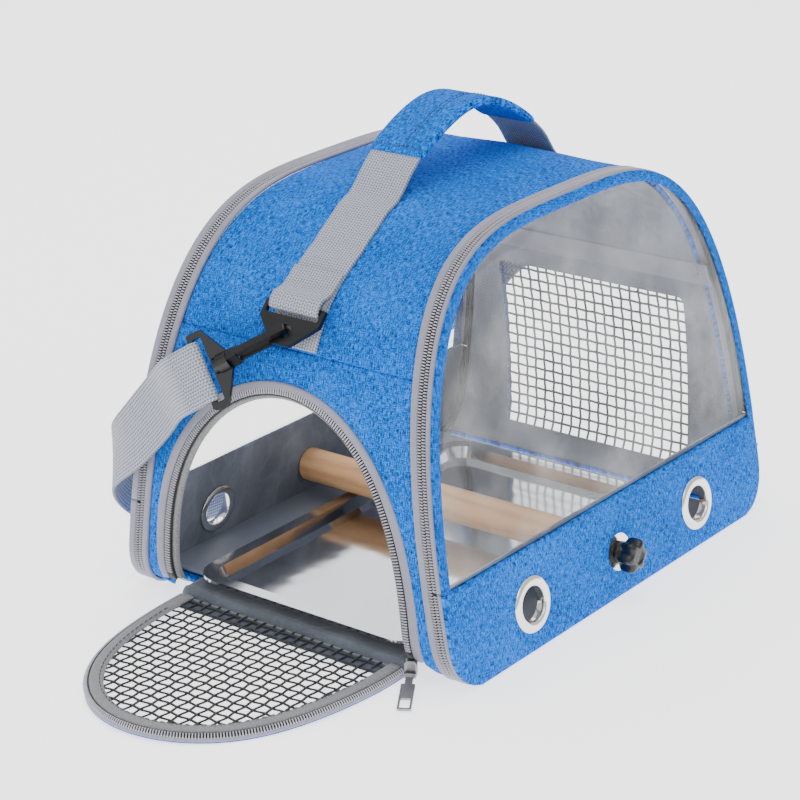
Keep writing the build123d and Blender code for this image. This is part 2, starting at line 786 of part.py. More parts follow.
loop_lean = wall_lean + radians(loop_tilt)
loop_face = slope_plane(loop_lean)
loop_normal = loop_face.z_dir
with BuildPart() as near_loop:
    with BuildSketch(loop_face.offset(-loop_plate / 2)):
        with BuildLine():
            half = loop_width / 2
            Polyline(
                (-half, -loop_bar / 2), (half, -loop_bar / 2), (half, loop_shoulder),
                (loop_tip_half_width, loop_tip), (-loop_tip_half_width, loop_tip),
                (-half, loop_shoulder), close=True,
            )
        plate = make_face()
        fillet(plate.vertices().group_by(Axis.Y)[-1], 4.5)
        fillet(plate.vertices().group_by(Axis.Y)[1], 4.0)
        with Locations((0, loop_bar / 2 + loop_slot_length / 2)):
            RectangleRounded(loop_slot_width, loop_slot_length, 1.2, mode=Mode.SUBTRACT)
        with Locations((0, loop_hole_drop)):
            Circle(loop_hole_radius, mode=Mode.SUBTRACT)
    extrude(amount=loop_plate)

keeper_face = Plane(origin=(bar_x, 0, bar_z), x_dir=(-sin(wall_lean), 0, -cos(wall_lean)), z_dir=(0, -1, 0))
with BuildPart() as near_keeper:
    # section of the fold: local X runs down the wall, local Y points out or in
    outward = Vector(-cos(wall_lean), 0, sin(wall_lean)).dot(keeper_face.y_dir)
    with BuildSketch(keeper_face):
        Circle(fold_radius)
        with Locations((-keeper_length / 2, -outward * fold_radius / 2)):
            Rectangle(keeper_length, fold_radius)
        Circle(fold_bore, mode=Mode.SUBTRACT)
    extrude(amount=webbing_width / 2, both=True)

hole = loop_face.from_local_coords(Vector(0, loop_hole_drop, 0))
hook_dir = loop_face.x_dir * cos(radians(hook_angle)) + loop_face.y_dir * sin(radians(hook_angle))
hook_face = Plane(origin=hole, x_dir=hook_dir, z_dir=hook_dir.cross(loop_normal))
# local X along the hook, local Y out of the loop's plate (sign in `out`)
out = loop_normal.dot(hook_face.y_dir)
plate_clear = loop_plate / 2 + hook_gap
bar_top = plate_clear + hook_bar
tip_low = plate_clear + hook_tip_thickness
shank_start = hook_neck_end
shank_end = shank_start + shank_length
head_end = shank_end + shank_head_length


def hook_box(x0, x1, y0, y1, thickness):
    """Bar of the hook from x0 to x1 along it and y0 to y1 off the loop's plate."""
    with BuildSketch(hook_face) as section:
        with Locations(((x0 + x1) / 2, out * (y0 + y1) / 2)):
            Rectangle(x1 - x0, abs(y1 - y0))
    extrude(section.sketch, amount=thickness / 2, both=True)


with BuildPart() as near_hook:
    hook_box(-hook_nose, hook_neck_end, plate_clear, bar_top, hook_thickness)
    hook_box(-hook_nose, hook_nose, -tip_low, bar_top, hook_thickness)
    hook_box(-hook_nose, hook_tip_length, -tip_low, -plate_clear, hook_thickness)
    hook_box(hook_neck_start, hook_neck_end, -tip_low, bar_top, hook_thickness + 2)
    fillet(near_hook.edges().filter_by(lambda e: e.length > 3).sort_by(Axis(hole, hook_dir))[:4], 0.8)
    with BuildSketch(Plane(origin=hook_face.from_local_coords(Vector(shank_start, 0, 0)), z_dir=hook_dir)):
        Circle(shank_radius)
    extrude(amount=shank_length)
    with BuildSketch(Plane(origin=hook_face.from_local_coords(Vector(shank_end, 0, 0)), z_dir=hook_dir)):
        Circle(shank_head_radius)
    extrude(amount=shank_head_length)
    gate_pin = hook_face.from_local_coords(
        Vector(hook_neck_start + 2, -out * (plate_clear + gate_thickness / 2), 0)
    )
    with Locations(Plane(origin=gate_pin, z_dir=hook_face.z_dir)):
        Cylinder(gate_thickness, gate_width + 2 * gate_gap, mode=Mode.SUBTRACT)
        Cylinder(gate_pin_radius, hook_thickness + 2)
    with BuildSketch(hook_face):
        with Locations((hook_neck_start, -out * (plate_clear + tip_low) / 2)):
            Rectangle(4, 4 * gate_thickness)
    extrude(amount=(gate_width + 2 * gate_gap) / 2, both=True, mode=Mode.SUBTRACT)
    with Locations(Plane(origin=gate_pin, z_dir=hook_face.z_dir)):
        Cylinder(gate_pin_radius, hook_thickness + 2)

with BuildPart() as near_gate:
    with BuildSketch(hook_face):
        with Locations((
            (hook_tip_length + gate_gap + hook_neck_start + 2) / 2,
            -out * (plate_clear + gate_thickness / 2),
        )):
            Rectangle(hook_neck_start + 2 - hook_tip_length - gate_gap, gate_thickness)
        with Locations((hook_neck_start + 2, -out * (plate_clear + gate_thickness / 2))):
            Circle(gate_thickness - gate_gap / 2)
            Circle(gate_pin_radius + pin_clearance, mode=Mode.SUBTRACT)
    extrude(amount=gate_width / 2, both=True)

ring_normal = loop_normal.rotate(Axis(hole, hook_dir), -ring_turn)
ring_face = Plane(origin=hole, x_dir=hook_dir, z_dir=ring_normal)
ring_start = shank_start + swivel_play
slot_start = head_end + swivel_play + 1.2
slot_end = slot_start + ring_slot_length
ring_end = slot_end + ring_bar
with BuildPart() as near_ring:
    with BuildSketch(ring_face.offset(-ring_plate / 2)):
        with BuildLine():
            Polyline(
                (ring_start, -collar_radius), (slot_start - 1.0, -ring_half_width),
                (ring_end, -ring_half_width), (ring_end, ring_half_width),
                (slot_start - 1.0, ring_half_width), (ring_start, collar_radius), close=True,
            )
        ring_outline = make_face()
        fillet(ring_outline.vertices().group_by(Axis.X)[-1], 2.0)
        with Locations(((slot_start + slot_end) / 2, 0)):
            RectangleRounded(ring_slot_length, 2 * ring_slot_half_width, 1.2, mode=Mode.SUBTRACT)
    extrude(amount=ring_plate)
    with BuildSketch(Plane(origin=hook_face.from_local_coords(Vector(ring_start, 0, 0)), z_dir=hook_dir)):
        Circle(collar_radius)
    extrude(amount=shank_end - swivel_play - ring_start)
    with Locations(Plane(origin=hook_face.from_local_coords(Vector(shank_start, 0, 0)), z_dir=hook_dir)):
        Cylinder(
            shank_radius + swivel_clearance, 4 * shank_length, mode=Mode.SUBTRACT,
            align=(Align.CENTER, Align.CENTER, Align.CENTER),
        )
    head_seat = hook_face.from_local_coords(Vector(shank_end - swivel_play, 0, 0))
    with Locations(Plane(origin=head_seat, z_dir=hook_dir)):
        Cylinder(
            shank_head_radius + swivel_play, shank_head_length + 2 * swivel_play, mode=Mode.SUBTRACT,
            align=(Align.CENTER, Align.CENTER, Align.MIN),
        )

# ------------------------------------------------------- shoulder strap
# Stations of the strap, from the near ring's bar round the corner and along the
# back to the far ring's. Each is a centre, the direction of the strap's width
# and the direction of its run.
bar_middle = (slot_end + ring_end) / 2
strap_start = hook_face.from_local_coords(Vector(bar_middle + strap_tail + layer_gap, 0, 0))
strap_middle_y = base_width / 2 + strap_back_clearance


def strap_spot(past_hinge, inward, share):
    """Place on the strap: past the hinge, inward of its back run, share of its fall."""
    height = strap_middle_height + share * (strap_start.Z - strap_middle_height)
    return Vector(hinge_x + past_hinge, strap_middle_y - inward, height)


near_stations = [
    (strap_start, Vector(0, 0, 0) - ring_face.y_dir, hook_dir),
    (strap_spot(-12, 71, 0.839), Vector(0.1, 0.5, 0.85), Vector(0.15, 0.78, -0.6)),
    (strap_spot(-13, 40, 0.605), Vector(0.19, 0.6, 0.71), Vector(0.25, 0.7, -0.67)),
    (strap_spot(1, 10, 0.415), Vector(0.5, 0.37, 0.75), Vector(0.6, 0.42, -0.66)),
    (strap_spot(35, 3, 0.176), Vector(0.45, 0, 0.86), Vector(0.85, 0.15, -0.5)),
    (strap_spot(90, 0.5, 0.015), Vector(0.12, 0, 1), Vector(1, 0, -0.14)),
    (strap_spot(141, 0, 0), Vector(0, 0, 1), Vector(1, 0, 0)),
]
strap_middle = (Vector(0, strap_middle_y, strap_middle_height), Vector(0, 0, 1), Vector(1, 0, 0))
far_stations = [
    (Vector(-c.X, c.Y, c.Z), Vector(-w.X, w.Y, w.Z), Vector(r.X, -r.Y, -r.Z))
    for c, w, r in reversed(near_stations)
]
with BuildPart() as strap_run:
    for centre, width_dir, run_dir in (*near_stations, strap_middle, *far_stations):
        with BuildSketch(Plane(origin=centre, x_dir=width_dir, z_dir=run_dir)):
            Rectangle(webbing_width, strap_thickness)
    loft()

fold_plane = Plane(
    origin=hook_face.from_local_coords(Vector(bar_middle, 0, 0)),
    x_dir=hook_dir, z_dir=ring_face.y_dir,
)
with BuildPart() as near_fold:
    with BuildSketch(fold_plane):
        Circle(fold_radius)
        with Locations((strap_tail / 2, 0)):
            Rectangle(strap_tail, strap_thickness)
        Circle(fold_bore, mode=Mode.SUBTRACT)
    extrude(amount=webbing_width / 2, both=True)

with BuildPart() as shoulder_strap:
    add(strap_run.part)
    add(near_fold.part)
    mirror(near_fold.part, about=Plane.YZ)
pieces["shoulder_strap"] = shoulder_strap

with BuildPart() as adjuster:
    sleeve_wall = 2 * (adjuster_clearance + adjuster_wall)
    with Locations(strap_middle[0]):
        Box(adjuster_length, strap_thickness + sleeve_wall, webbing_width + sleeve_wall)
        Box(
            2 * adjuster_length, strap_thickness + 2 * adjuster_clearance,
            webbing_width + 2 * adjuster_clearance, mode=Mode.SUBTRACT,
        )
pieces["strap_adjuster"] = adjuster

for word, piece in (
    ("loop", near_loop), ("loop_keeper", near_keeper), ("hook", near_hook),
    ("hook_gate", near_gate), ("strap_ring", near_ring),
):
    with BuildPart() as far_piece:
        mirror(piece.part, about=Plane.YZ)
    pieces[f"near_{word}"] = piece
    pieces[f"far_{word}"] = far_piece


# -------------------------------------------- zip sliders with their pulls
def slider_parts(seat, pull_dir, pin_dir):
    """Slider and pull: `seat` is the slider's frame, its normal off the chain."""
    pin_rise = slider_thickness + barrel_radius + 0.3
    pin_centre = seat.from_local_coords(Vector(0, -slider_length / 4, pin_rise))
    half_pin = barrel_length / 2 + pin_clearance
    with BuildPart() as slider:
        with BuildSketch(seat):
            RectangleRounded(slider_width, slider_length, 2.4)
        extrude(amount=slider_thickness)
        fillet(slider.faces().sort_by(Axis(seat.origin, seat.z_dir))[-1].edges(), 0.9)
        with Locations(Plane(origin=pin_centre, z_dir=pin_dir)):
            Cylinder(pin_radius, barrel_length + 2 * (post_thickness + pin_clearance))
        for sign in (-1, 1):
            post_middle = pin_centre + pin_dir * (sign * (half_pin + post_thickness / 2))
            post_plane = Plane(origin=post_middle, x_dir=seat.z_dir, z_dir=pin_dir)
            with BuildSketch(post_plane.offset(-post_thickness / 2)):
                Circle(pin_radius + 0.5)
                with Locations((-barrel_radius, 0)):
                    Rectangle(2 * barrel_radius, 2 * pin_radius + 1)
            extrude(amount=post_thickness)
    pull_plane = Plane(origin=pin_centre, x_dir=pin_dir, z_dir=pin_dir.cross(pull_dir))
    down = pull_dir.dot(pull_plane.y_dir)
    with BuildPart() as pull:
        with BuildSketch(pull_plane.offset(-pull_thickness / 2)):
            with Locations((0, down * (barrel_radius * 2))):
                Rectangle(barrel_length, 4 * barrel_radius)
            with Locations((0, down * (4 * barrel_radius + (pull_length - 4 * barrel_radius) / 2))):
                RectangleRounded(pull_width, pull_length - 4 * barrel_radius, 0.8)
            with Locations((0, down * (pull_length - pull_frame - pull_window_length / 2))):
                RectangleRounded(
                    pull_width - 2 * pull_frame, pull_window_length, 0.5, mode=Mode.SUBTRACT
                )
        extrude(amount=pull_thickness)
        with Locations(Plane(origin=pin_centre, z_dir=pin_dir)):
            Cylinder(barrel_radius, barrel_length)
            Cylinder(pin_radius + pin_clearance, 2 * barrel_length, mode=Mode.SUBTRACT)
    return slider, pull


turn = radians(door_pull_turn)
drop = radians(door_pull_drop)
door_pull_dir = Vector(-cos(turn) * cos(drop), -sin(turn) * cos(drop), -sin(drop))
door_pin_dir = Vector(sin(turn), -cos(turn), 0)
door_seat = Plane(
    origin=(hinge_x - chain_rise - slider_gap - 4.6, door_slider_y, door_slider_height),
    x_dir=door_pin_dir, z_dir=(-cos(turn), -sin(turn), 0),
)
pieces["door_slider"], pieces["door_pull"] = slider_parts(door_seat, door_pull_dir, door_pin_dir)

for side, word in ((FRONT, "front"), (BACK, "back")):
    seat = Plane(
        origin=(
            length / 2 + chain_rise + slider_gap,
            side * face_y(window_slider_height, chain_middle), window_slider_height,
        ),
        x_dir=(0, 1, 0), z_dir=(1, 0, 0),
    )
    slider, pull = slider_parts(seat, Vector(0, 0, -1), Vector(0, 1, 0))
    pieces[f"{word}_zip_slider"] = slider
    pieces[f"{word}_zip_pull"] = pull

for name, piece in pieces.items():
    piece.part.label = name
    export_step(piece.part, f"parts/{name}.step")

print(len(pieces), "pieces")
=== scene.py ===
import json
import math

import bmesh
import bpy
import numpy as np
from bpy.props import BoolProperty, FloatProperty, FloatVectorProperty, PointerProperty
from mathutils import Matrix, Vector


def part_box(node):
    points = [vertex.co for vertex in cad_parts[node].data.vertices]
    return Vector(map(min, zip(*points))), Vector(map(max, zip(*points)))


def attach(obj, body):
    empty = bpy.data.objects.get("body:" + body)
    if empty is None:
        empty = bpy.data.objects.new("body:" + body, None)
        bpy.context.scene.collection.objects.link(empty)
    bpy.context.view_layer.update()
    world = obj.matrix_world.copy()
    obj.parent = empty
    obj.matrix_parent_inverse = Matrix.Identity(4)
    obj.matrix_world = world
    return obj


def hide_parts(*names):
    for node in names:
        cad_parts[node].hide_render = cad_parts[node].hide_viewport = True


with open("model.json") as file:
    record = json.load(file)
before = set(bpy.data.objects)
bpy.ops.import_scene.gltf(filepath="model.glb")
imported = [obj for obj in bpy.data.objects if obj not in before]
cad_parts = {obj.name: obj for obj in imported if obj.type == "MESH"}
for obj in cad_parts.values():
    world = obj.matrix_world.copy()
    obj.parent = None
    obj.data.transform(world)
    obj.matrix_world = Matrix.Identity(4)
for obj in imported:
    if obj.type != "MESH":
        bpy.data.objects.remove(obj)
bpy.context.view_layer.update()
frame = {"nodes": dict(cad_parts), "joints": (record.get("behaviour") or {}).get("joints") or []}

bl_info = {
    "name": "Bird travel carrier",
    "version": (1, 0, 0),
    "blender": (4, 5, 0),
    "location": "3D View > Sidebar > Carrier",
    "description": "Makes a soft-sided travel carrier for a bird, piece by piece",
    "category": "Add Mesh",
}

NODES = frame["nodes"]

# Body form, in millimetres, as the solids have it.
LENGTH, BASE_WIDTH, HEIGHT = 346.0, 271.0, 260.0
BELLY, FOOT = 37.0, 140.0
TOE_POWER, FLANK_POWER, CROWN_POWER = 2.5, 3.72, 2.39
LEAN = math.tan(math.radians(8.53))
LEAN_COS = math.cos(math.radians(8.53))
LEAN_SIN = math.sin(math.radians(8.53))
ZIP_WIDTH = 16.5
NEAR_SEAM, FAR_SEAM = 185.0, 166.0
BAND_TOP = 65.0
HINGE_X, HINGE_Z = -165.0, 4.0


# ------------------------------------------------------------------ curves
def superellipse(angle, half, rise, power_across, power_up):
    """Point of a superellipse quarter: half * cos^(2/p) across, rise * sin^(2/q) up."""
    c, s = np.clip(np.cos(angle), 0, 1), np.clip(np.sin(angle), 0, 1)
    return half * c ** (2 / power_across), rise * s ** (2 / power_up)


def make_arch():
    """Dense polyline of the arch from the near foot over the crown to the far foot.

    The toe is a superellipse quarter from the flat base to the belly, the rest a
    superellipse quarter from the belly to the crown, and the far half is its mirror.
    Returns the running length, the points and the outward normals.
    """
    toe = np.linspace(np.pi / 2, 0, 400)
    tx, tz = superellipse(toe, LENGTH / 2 - FOOT, BELLY, TOE_POWER, TOE_POWER)
    up = np.linspace(0, np.pi / 2, 2400) ** 1.0
    ux, uz = superellipse(up, LENGTH / 2, HEIGHT - BELLY, FLANK_POWER, CROWN_POWER)
    x = np.concatenate([FOOT + tx, ux[1:]])
    z = np.concatenate([BELLY - tz, BELLY + uz[1:]])
    x = np.concatenate([-x, x[::-1][1:]])
    z = np.concatenate([z, z[::-1][1:]])
    step = np.hypot(np.diff(x), np.diff(z))
    keep = np.concatenate([[True], step > 1e-7])
    x, z = x[keep], z[keep]
    run = np.concatenate([[0], np.cumsum(np.hypot(np.diff(x), np.diff(z)))])
    even = np.linspace(0, run[-1], 1600)
    x, z = np.interp(even, run, x), np.interp(even, run, z)
    dx, dz = np.gradient(x), np.gradient(z)
    size = np.hypot(dx, dz)
    return even, x, z, -dz / size, dx / size


ARCH_RUN, ARCH_X, ARCH_Z, ARCH_NX, ARCH_NZ = make_arch()


def arch(run, lift=0.0):
    """Point and outward normal of the arch at a running length, lifted off the skin."""
    x, z = np.interp(run, ARCH_RUN, ARCH_X), np.interp(run, ARCH_RUN, ARCH_Z)
    nx, nz = np.interp(run, ARCH_RUN, ARCH_NX), np.interp(run, ARCH_RUN, ARCH_NZ)
    return x + nx * lift, z + nz * lift, nx, nz


def run_at(height, far=False):
    """Running length at which the arch reaches a height, on the near or far side."""
    half = len(ARCH_RUN) // 2
    if far:
        return np.interp(height, ARCH_Z[half:][::-1], ARCH_RUN[half:][::-1])
    return np.interp(height, ARCH_Z[:half + 1], ARCH_RUN[:half + 1])


def run_over(x):
    """Running length at which the arch passes over x, between the two bellies."""
    near, far = run_at(BELLY), run_at(BELLY, True)
    inside = (ARCH_RUN >= near) & (ARCH_RUN <= far)
    return np.interp(x, ARCH_X[inside], ARCH_RUN[inside])


def face_y(z, depth):
    """Distance from the middle plane to a surface `depth` inside a window face."""
    return BASE_WIDTH / 2 - depth - z * LEAN


def sway(x):
    """How far the cloth stands off the arch half way across, over x.

    It is pushed out over the crown and drawn in on the shoulders, where the
    handle's webbing pulls it straight, and meets the arch at the seams.
    """
    at = [-174, -150, -140, -124, -110, -94, -78, -60, 0, 60, 92, 108, 124, 140, 150, 174]
    by = [0.0, 0.0, -0.8, -5.0, -7.0, -4.5, 0.5, 3.5, 5.5, 4.5, 0.0, -3.5, -4.0, -1.0, 0.0, 0.0]
    return np.interp(x, at, by)


def cloth_point(run, across, inset=0.0, dip=0.0):
    """Point of the gusset's cloth: the arch at a running length, drawn out along Y
    to a share `across` of the way to the piping, swayed by a parabola across and
    dipped at its seams."""
    x0, z0, nx, nz = arch(run)
    edge = face_y(z0, ZIP_WIDTH)
    lift = sway(x0) * (1 - across ** 2) - inset - dip
    ripple = 0.45 * np.sin(run / 17.0 + 2.1 * across) * np.sin(edge * across / 21.0 + 0.8)
    ripple += 0.30 * np.sin(run / 7.3 - 3.0 * across + 1.0) * np.cos(edge * across / 11.0)
    lift = lift + ripple * (1 - across ** 4)
    return np.stack([x0 + nx * lift, edge * across, z0 + nz * lift], -1)


def doorway_outline(angle, half, top):
    """Doorway arch over its sill: y = half cos a, z = sill + rise sin^(2/2.6) a."""
    rise = (top - HINGE_Z) * np.clip(np.sin(angle), 0, 1) ** (2 / 2.6)
    return half * np.cos(angle), HINGE_Z + rise


def on_end_wall(y, z, lift, sign=-1):
    """Point on an end wall over (y, z), lifted off the skin along its normal."""
    run = run_at(z, sign > 0)
    x0, z0, nx, nz = arch(run)
    edge = face_y(z0, ZIP_WIDTH)
    push = sway(x0) * (1 - np.clip(y / edge, -1, 1) ** 2) + lift
    return np.stack([x0 + nx * push, y + 0 * x0, z0 + nz * push], -1)


def smooth_path(points, count):
    """Points at even spacing on a natural cubic spline through the given ones."""
    p = np.asarray(points, float)
    t = np.concatenate([[0], np.cumsum(np.linalg.norm(np.diff(p, axis=0), axis=1))])
    n, h = len(p), np.diff(t)
    a = np.zeros((n, n))
    b = np.zeros_like(p)
    a[0, 0] = a[-1, -1] = 1
    i = np.arange(1, n - 1)
    a[i, i - 1], a[i, i], a[i, i + 1] = h[:-1], 2 * (h[:-1] + h[1:]), h[1:]
    b[1:-1] = 6 * (np.diff(p, axis=0)[1:] / h[1:, None] - np.diff(p, axis=0)[:-1] / h[:-1, None])
    m = np.linalg.solve(a, b)

    def at(s):
        k = np.clip(np.searchsorted(t, s) - 1, 0, n - 2)
        u, v, w = (t[k + 1] - s)[:, None], (s - t[k])[:, None], h[k][:, None]
        bend = (m[k] * u ** 3 + m[k + 1] * v ** 3) / (6 * w)
        return bend + (p[k] / w - m[k] * w / 6) * u + (p[k + 1] / w - m[k + 1] * w / 6) * v

    fine = at(np.linspace(0, t[-1], count * 8))
    run = np.concatenate([[0], np.cumsum(np.linalg.norm(np.diff(fine, axis=0), axis=1))])
    even = np.linspace(0, run[-1], count)
    return np.stack([np.interp(even, run, fine[:, k]) for k in range(3)], -1)


def unit(v):
    """Vectors scaled to length one."""
    return v / np.maximum(np.linalg.norm(v, axis=-1, keepdims=True), 1e-12)


def along(path):
    """Direction of a path at each of its points."""
    return unit(np.gradient(path, axis=0))


# ------------------------------------------------------------------ meshes
def to_mesh(name, points, faces, uv=None, smooth=True):
    """Mesh object from points in millimetres and faces, placed in the row frame."""
    mesh = bpy.data.meshes.new(name)
    mesh.from_pydata(np.asarray(points, float).reshape(-1, 3) * 0.001, [], np.asarray(faces).tolist())
    if uv is not None:
        layer = mesh.uv_layers.new(name="UVMap")
        corner = np.zeros(len(mesh.loops), np.int32)
        mesh.loops.foreach_get("vertex_index", corner)
        layer.data.foreach_set("uv", np.asarray(uv, np.float32).reshape(-1, 2)[corner].ravel())
    mesh.polygons.foreach_set("use_smooth", np.full(len(mesh.polygons), smooth))
    mesh.update()
    piece = bpy.data.objects.new(name, mesh)
    bpy.context.scene.collection.objects.link(piece)
    return piece


def grid_faces(rows, columns, close_rows=False, close_columns=False, start=0):
    """Quads over a grid of points, optionally closed round either way."""
    i = np.arange(rows if close_rows else rows - 1)
    j = np.arange(columns if close_columns else columns - 1)
    i, j = np.meshgrid(i, j, indexing="ij")
    k, n = (i + 1) % rows, (j + 1) % columns
    quads = np.stack([i * columns + j, k * columns + j, k * columns + n, i * columns + n], -1)
    return quads.reshape(-1, 4) + start


def surface(name, points, uv, close_rows=False, close_columns=False, flip=False):
    """Mesh object of a grid of points; `flip` turns its faces over."""
    rows, columns = points.shape[:2]
    faces = grid_faces(rows, columns, close_rows, close_columns)
    return to_mesh(name, points, faces[:, ::-1] if flip else faces, uv)


def patches(name, grids, out):
    """Mesh object of several (points, uv, close_rows) grids, welded where they meet,
    every grid's faces looking along `out`."""
    points, uvs, faces, start = [], [], [], 0
    for grid, uv, close in grids:
        rows, columns = grid.shape[:2]
        one = grid_faces(rows, columns, close, False, start)
        corner = grid.reshape(-1, 3)[one[:, :3] - start]
        looks = np.cross(corner[:, 1] - corner[:, 0], corner[:, 2] - corner[:, 1]).sum(0) @ out
        faces.append(one if looks > 0 else one[:, ::-1])
        points.append(grid.reshape(-1, 3))
        uvs.append(uv.reshape(-1, 2))
        start += rows * columns
    faces = np.concatenate(faces)
    piece = to_mesh(name, np.concatenate(points), faces, np.concatenate(uvs))
    weld(piece)
    return piece


def weld(piece, distance=0.00002):
    """Merge doubled points."""
    work = bmesh.new()
    work.from_mesh(piece.data)
    bmesh.ops.remove_doubles(work, verts=work.verts, dist=distance)
    work.to_mesh(piece.data)
    work.free()
    piece.data.update()
    return piece


def thicken(piece, thickness, offset=-1.0, bevel=0.0):
    """Give an open sheet its wall, and round the wall's edges if asked."""
    wall = piece.modifiers.new("wall", "SOLIDIFY")
    wall.thickness = thickness * 0.001
    wall.offset = offset
    wall.use_even_offset = False
    if bevel:
        edge = piece.modifiers.new("edge", "BEVEL")
        edge.width = bevel * 0.001
        edge.segments = 2
        edge.limit_method = "ANGLE"
        edge.angle_limit = math.radians(50)
    return piece


def ribbon(path, across, up, half_width, half_thickness, edge=0.5):
    """Closed band carried along a path: its section is a flat bar with rounded
    edges, `across` and `up` being unit vectors at each point. Returns the grid and
    its map, u running round the section and v along the path, in millimetres."""
    r = min(edge, half_thickness)
    a = np.radians([-90, -45, 0, 45, 90])
    rise = (half_thickness - r) * np.sign(np.sin(a)) + r * np.sin(a)
    right = np.stack([half_width - r + r * np.cos(a), rise], -1)
    cross = np.linspace(1, -1, 7)[1:-1, None] * [[half_width - r, 0]]
    top = cross + [[0, half_thickness]]
    left = np.stack([-right[:, 0], right[:, 1]], -1)[::-1]
    bottom = -cross + [[0, -half_thickness]]
    section = np.concatenate([right, top, left, bottom])
    grid = path[:, None] + section[None, :, :1] * across[:, None] + section[None, :, 1:] * up[:, None]
    run = np.concatenate([[0], np.cumsum(np.linalg.norm(np.diff(path, axis=0), axis=1))])
    u = np.broadcast_to(section[None, :, 0], grid.shape[:2])
    v = np.broadcast_to(run[:, None], grid.shape[:2])
    return grid, np.stack([u, v], -1)


def closed_tube(name, grid, uv):
    """Mesh of a band's grid, closed round its section and capped at both ends."""
    rows, columns = grid.shape[:2]
    faces = grid_faces(rows, columns, False, True)
    piece_points = grid.reshape(-1, 3)
    mids = np.stack([grid[0].mean(0), grid[-1].mean(0)])
    j = np.arange(columns)
    k = (j + 1) % columns
    first = np.stack([j, k, np.full(columns, rows * columns)], -1)
    last = (rows - 1) * columns + np.stack([k, j, j], -1)
    last[:, 2] = rows * columns + 1
    all_faces = faces.tolist() + first.tolist() + last.tolist()
    uv_all = np.concatenate([uv.reshape(-1, 2), uv[0].mean(0)[None], uv[-1].mean(0)[None]])
    mesh = bpy.data.meshes.new(name)
    mesh.from_pydata(np.concatenate([piece_points, mids]) * 0.001, [], all_faces)
    layer = mesh.uv_layers.new(name="UVMap")
    corner = np.zeros(len(mesh.loops), np.int32)
    mesh.loops.foreach_get("vertex_index", corner)
    layer.data.foreach_set("uv", uv_all.astype(np.float32)[corner].ravel())
    mesh.polygons.foreach_set("use_smooth", np.full(len(mesh.polygons), True))
    mesh.update()
    piece = bpy.data.objects.new(name, mesh)
    bpy.context.scene.collection.objects.link(piece)
    face_out(piece)
    return piece


def face_out(piece):
    """Point the faces of a closed piece outwards."""
    work = bmesh.new()
    work.from_mesh(piece.data)
    bmesh.ops.recalc_face_normals(work, faces=work.faces)
    work.to_mesh(piece.data)
    work.free()
    piece.data.update()


def lathe(name, profiles):
    """Turned pieces: each entry is a centre, an axis and a closed (radius, height)
    profile, carried round the axis."""
    points, faces, uvs, start = [], [], [], 0
    for centre, axis, profile in profiles:
        axis = unit(np.asarray(axis, float))
        side = unit(np.cross(axis, [1.0, 0.0, 0.001]))
        other = np.cross(axis, side)
        turn = np.linspace(0, 2 * np.pi, 72, endpoint=False)
        spoke = np.cos(turn)[:, None, None] * side + np.sin(turn)[:, None, None] * other
        profile = np.asarray(profile, float)
        grid = np.asarray(centre) + spoke * profile[None, :, :1] + axis * profile[None, :, 1:]
        points.append(grid.reshape(-1, 3))
        chart = np.stack(np.broadcast_arrays(turn[:, None] * 10, profile[None, :, 1]), -1)
        uvs.append(chart.reshape(-1, 2))
        faces.append(grid_faces(len(turn), len(profile), True, True, start))
        start += grid.shape[0] * grid.shape[1]
    piece = to_mesh(name, np.concatenate(points), np.concatenate(faces), np.concatenate(uvs))
    face_out(piece)
    return piece


def teeth(name, path, across, up, rows, pitch=1.8, reach_along=0.8, height=1.0):
    """Zip teeth: small rounded bars set across a path at an even pitch. Each row is
    the span from and to along `across`, and the share of a pitch that it is shifted."""
    run = np.concatenate([[0], np.cumsum(np.linalg.norm(np.diff(path, axis=0), axis=1))])
    bar = np.array([
        [-0.5, -0.5, 0], [0.5, -0.5, 0], [0.5, 0.5, 0], [-0.5, 0.5, 0],
        [-0.42, -0.36, 0.8], [0.42, -0.36, 0.8], [0.42, 0.36, 0.8], [-0.42, 0.36, 0.8],
        [-0.30, 0, 1.0], [0.30, 0, 1.0],
    ])
    sides = [
        [0, 1, 5, 4], [1, 2, 6, 5], [2, 3, 7, 6], [3, 0, 4, 7], [3, 2, 1, 0],
        [4, 5, 9, 8], [6, 7, 8, 9],
    ]
    caps = [[5, 6, 9], [7, 4, 8]]
    points, faces, start = [], [], 0
    for low, high, shift in rows:
        at = np.arange(pitch * (0.5 + shift), run[-1] - pitch * 0.5, pitch)
        p = np.stack([np.interp(at, run, path[:, k]) for k in range(3)], -1)
        c = unit(np.stack([np.interp(at, run, across[:, k]) for k in range(3)], -1))
        n = unit(np.stack([np.interp(at, run, up[:, k]) for k in range(3)], -1))
        t = np.cross(c, n)
        middle = p + c * (low + high) / 2
        block = (
            middle[:, None]
            + bar[None, :, :1] * abs(high - low) * c[:, None]
            + bar[None, :, 1:2] * reach_along * t[:, None]
            + bar[None, :, 2:] * height * n[:, None]
        )
        points.append(block.reshape(-1, 3))
        base = (np.arange(len(at)) * len(bar) + start)[:, None, None]
        faces += (base + np.array(sides)[None]).reshape(-1, 4).tolist()
        faces += (base + np.array(caps)[None]).reshape(-1, 3).tolist()
        start += len(at) * len(bar)
    mesh = bpy.data.meshes.new(name)
    mesh.from_pydata(np.concatenate(points) * 0.001, [], faces)
    mesh.polygons.foreach_set("use_smooth", np.full(len(mesh.polygons), False))
    mesh.update()
    piece = bpy.data.objects.new(name, mesh)
    bpy.context.scene.collection.objects.link(piece)
    face_out(piece)
    return piece


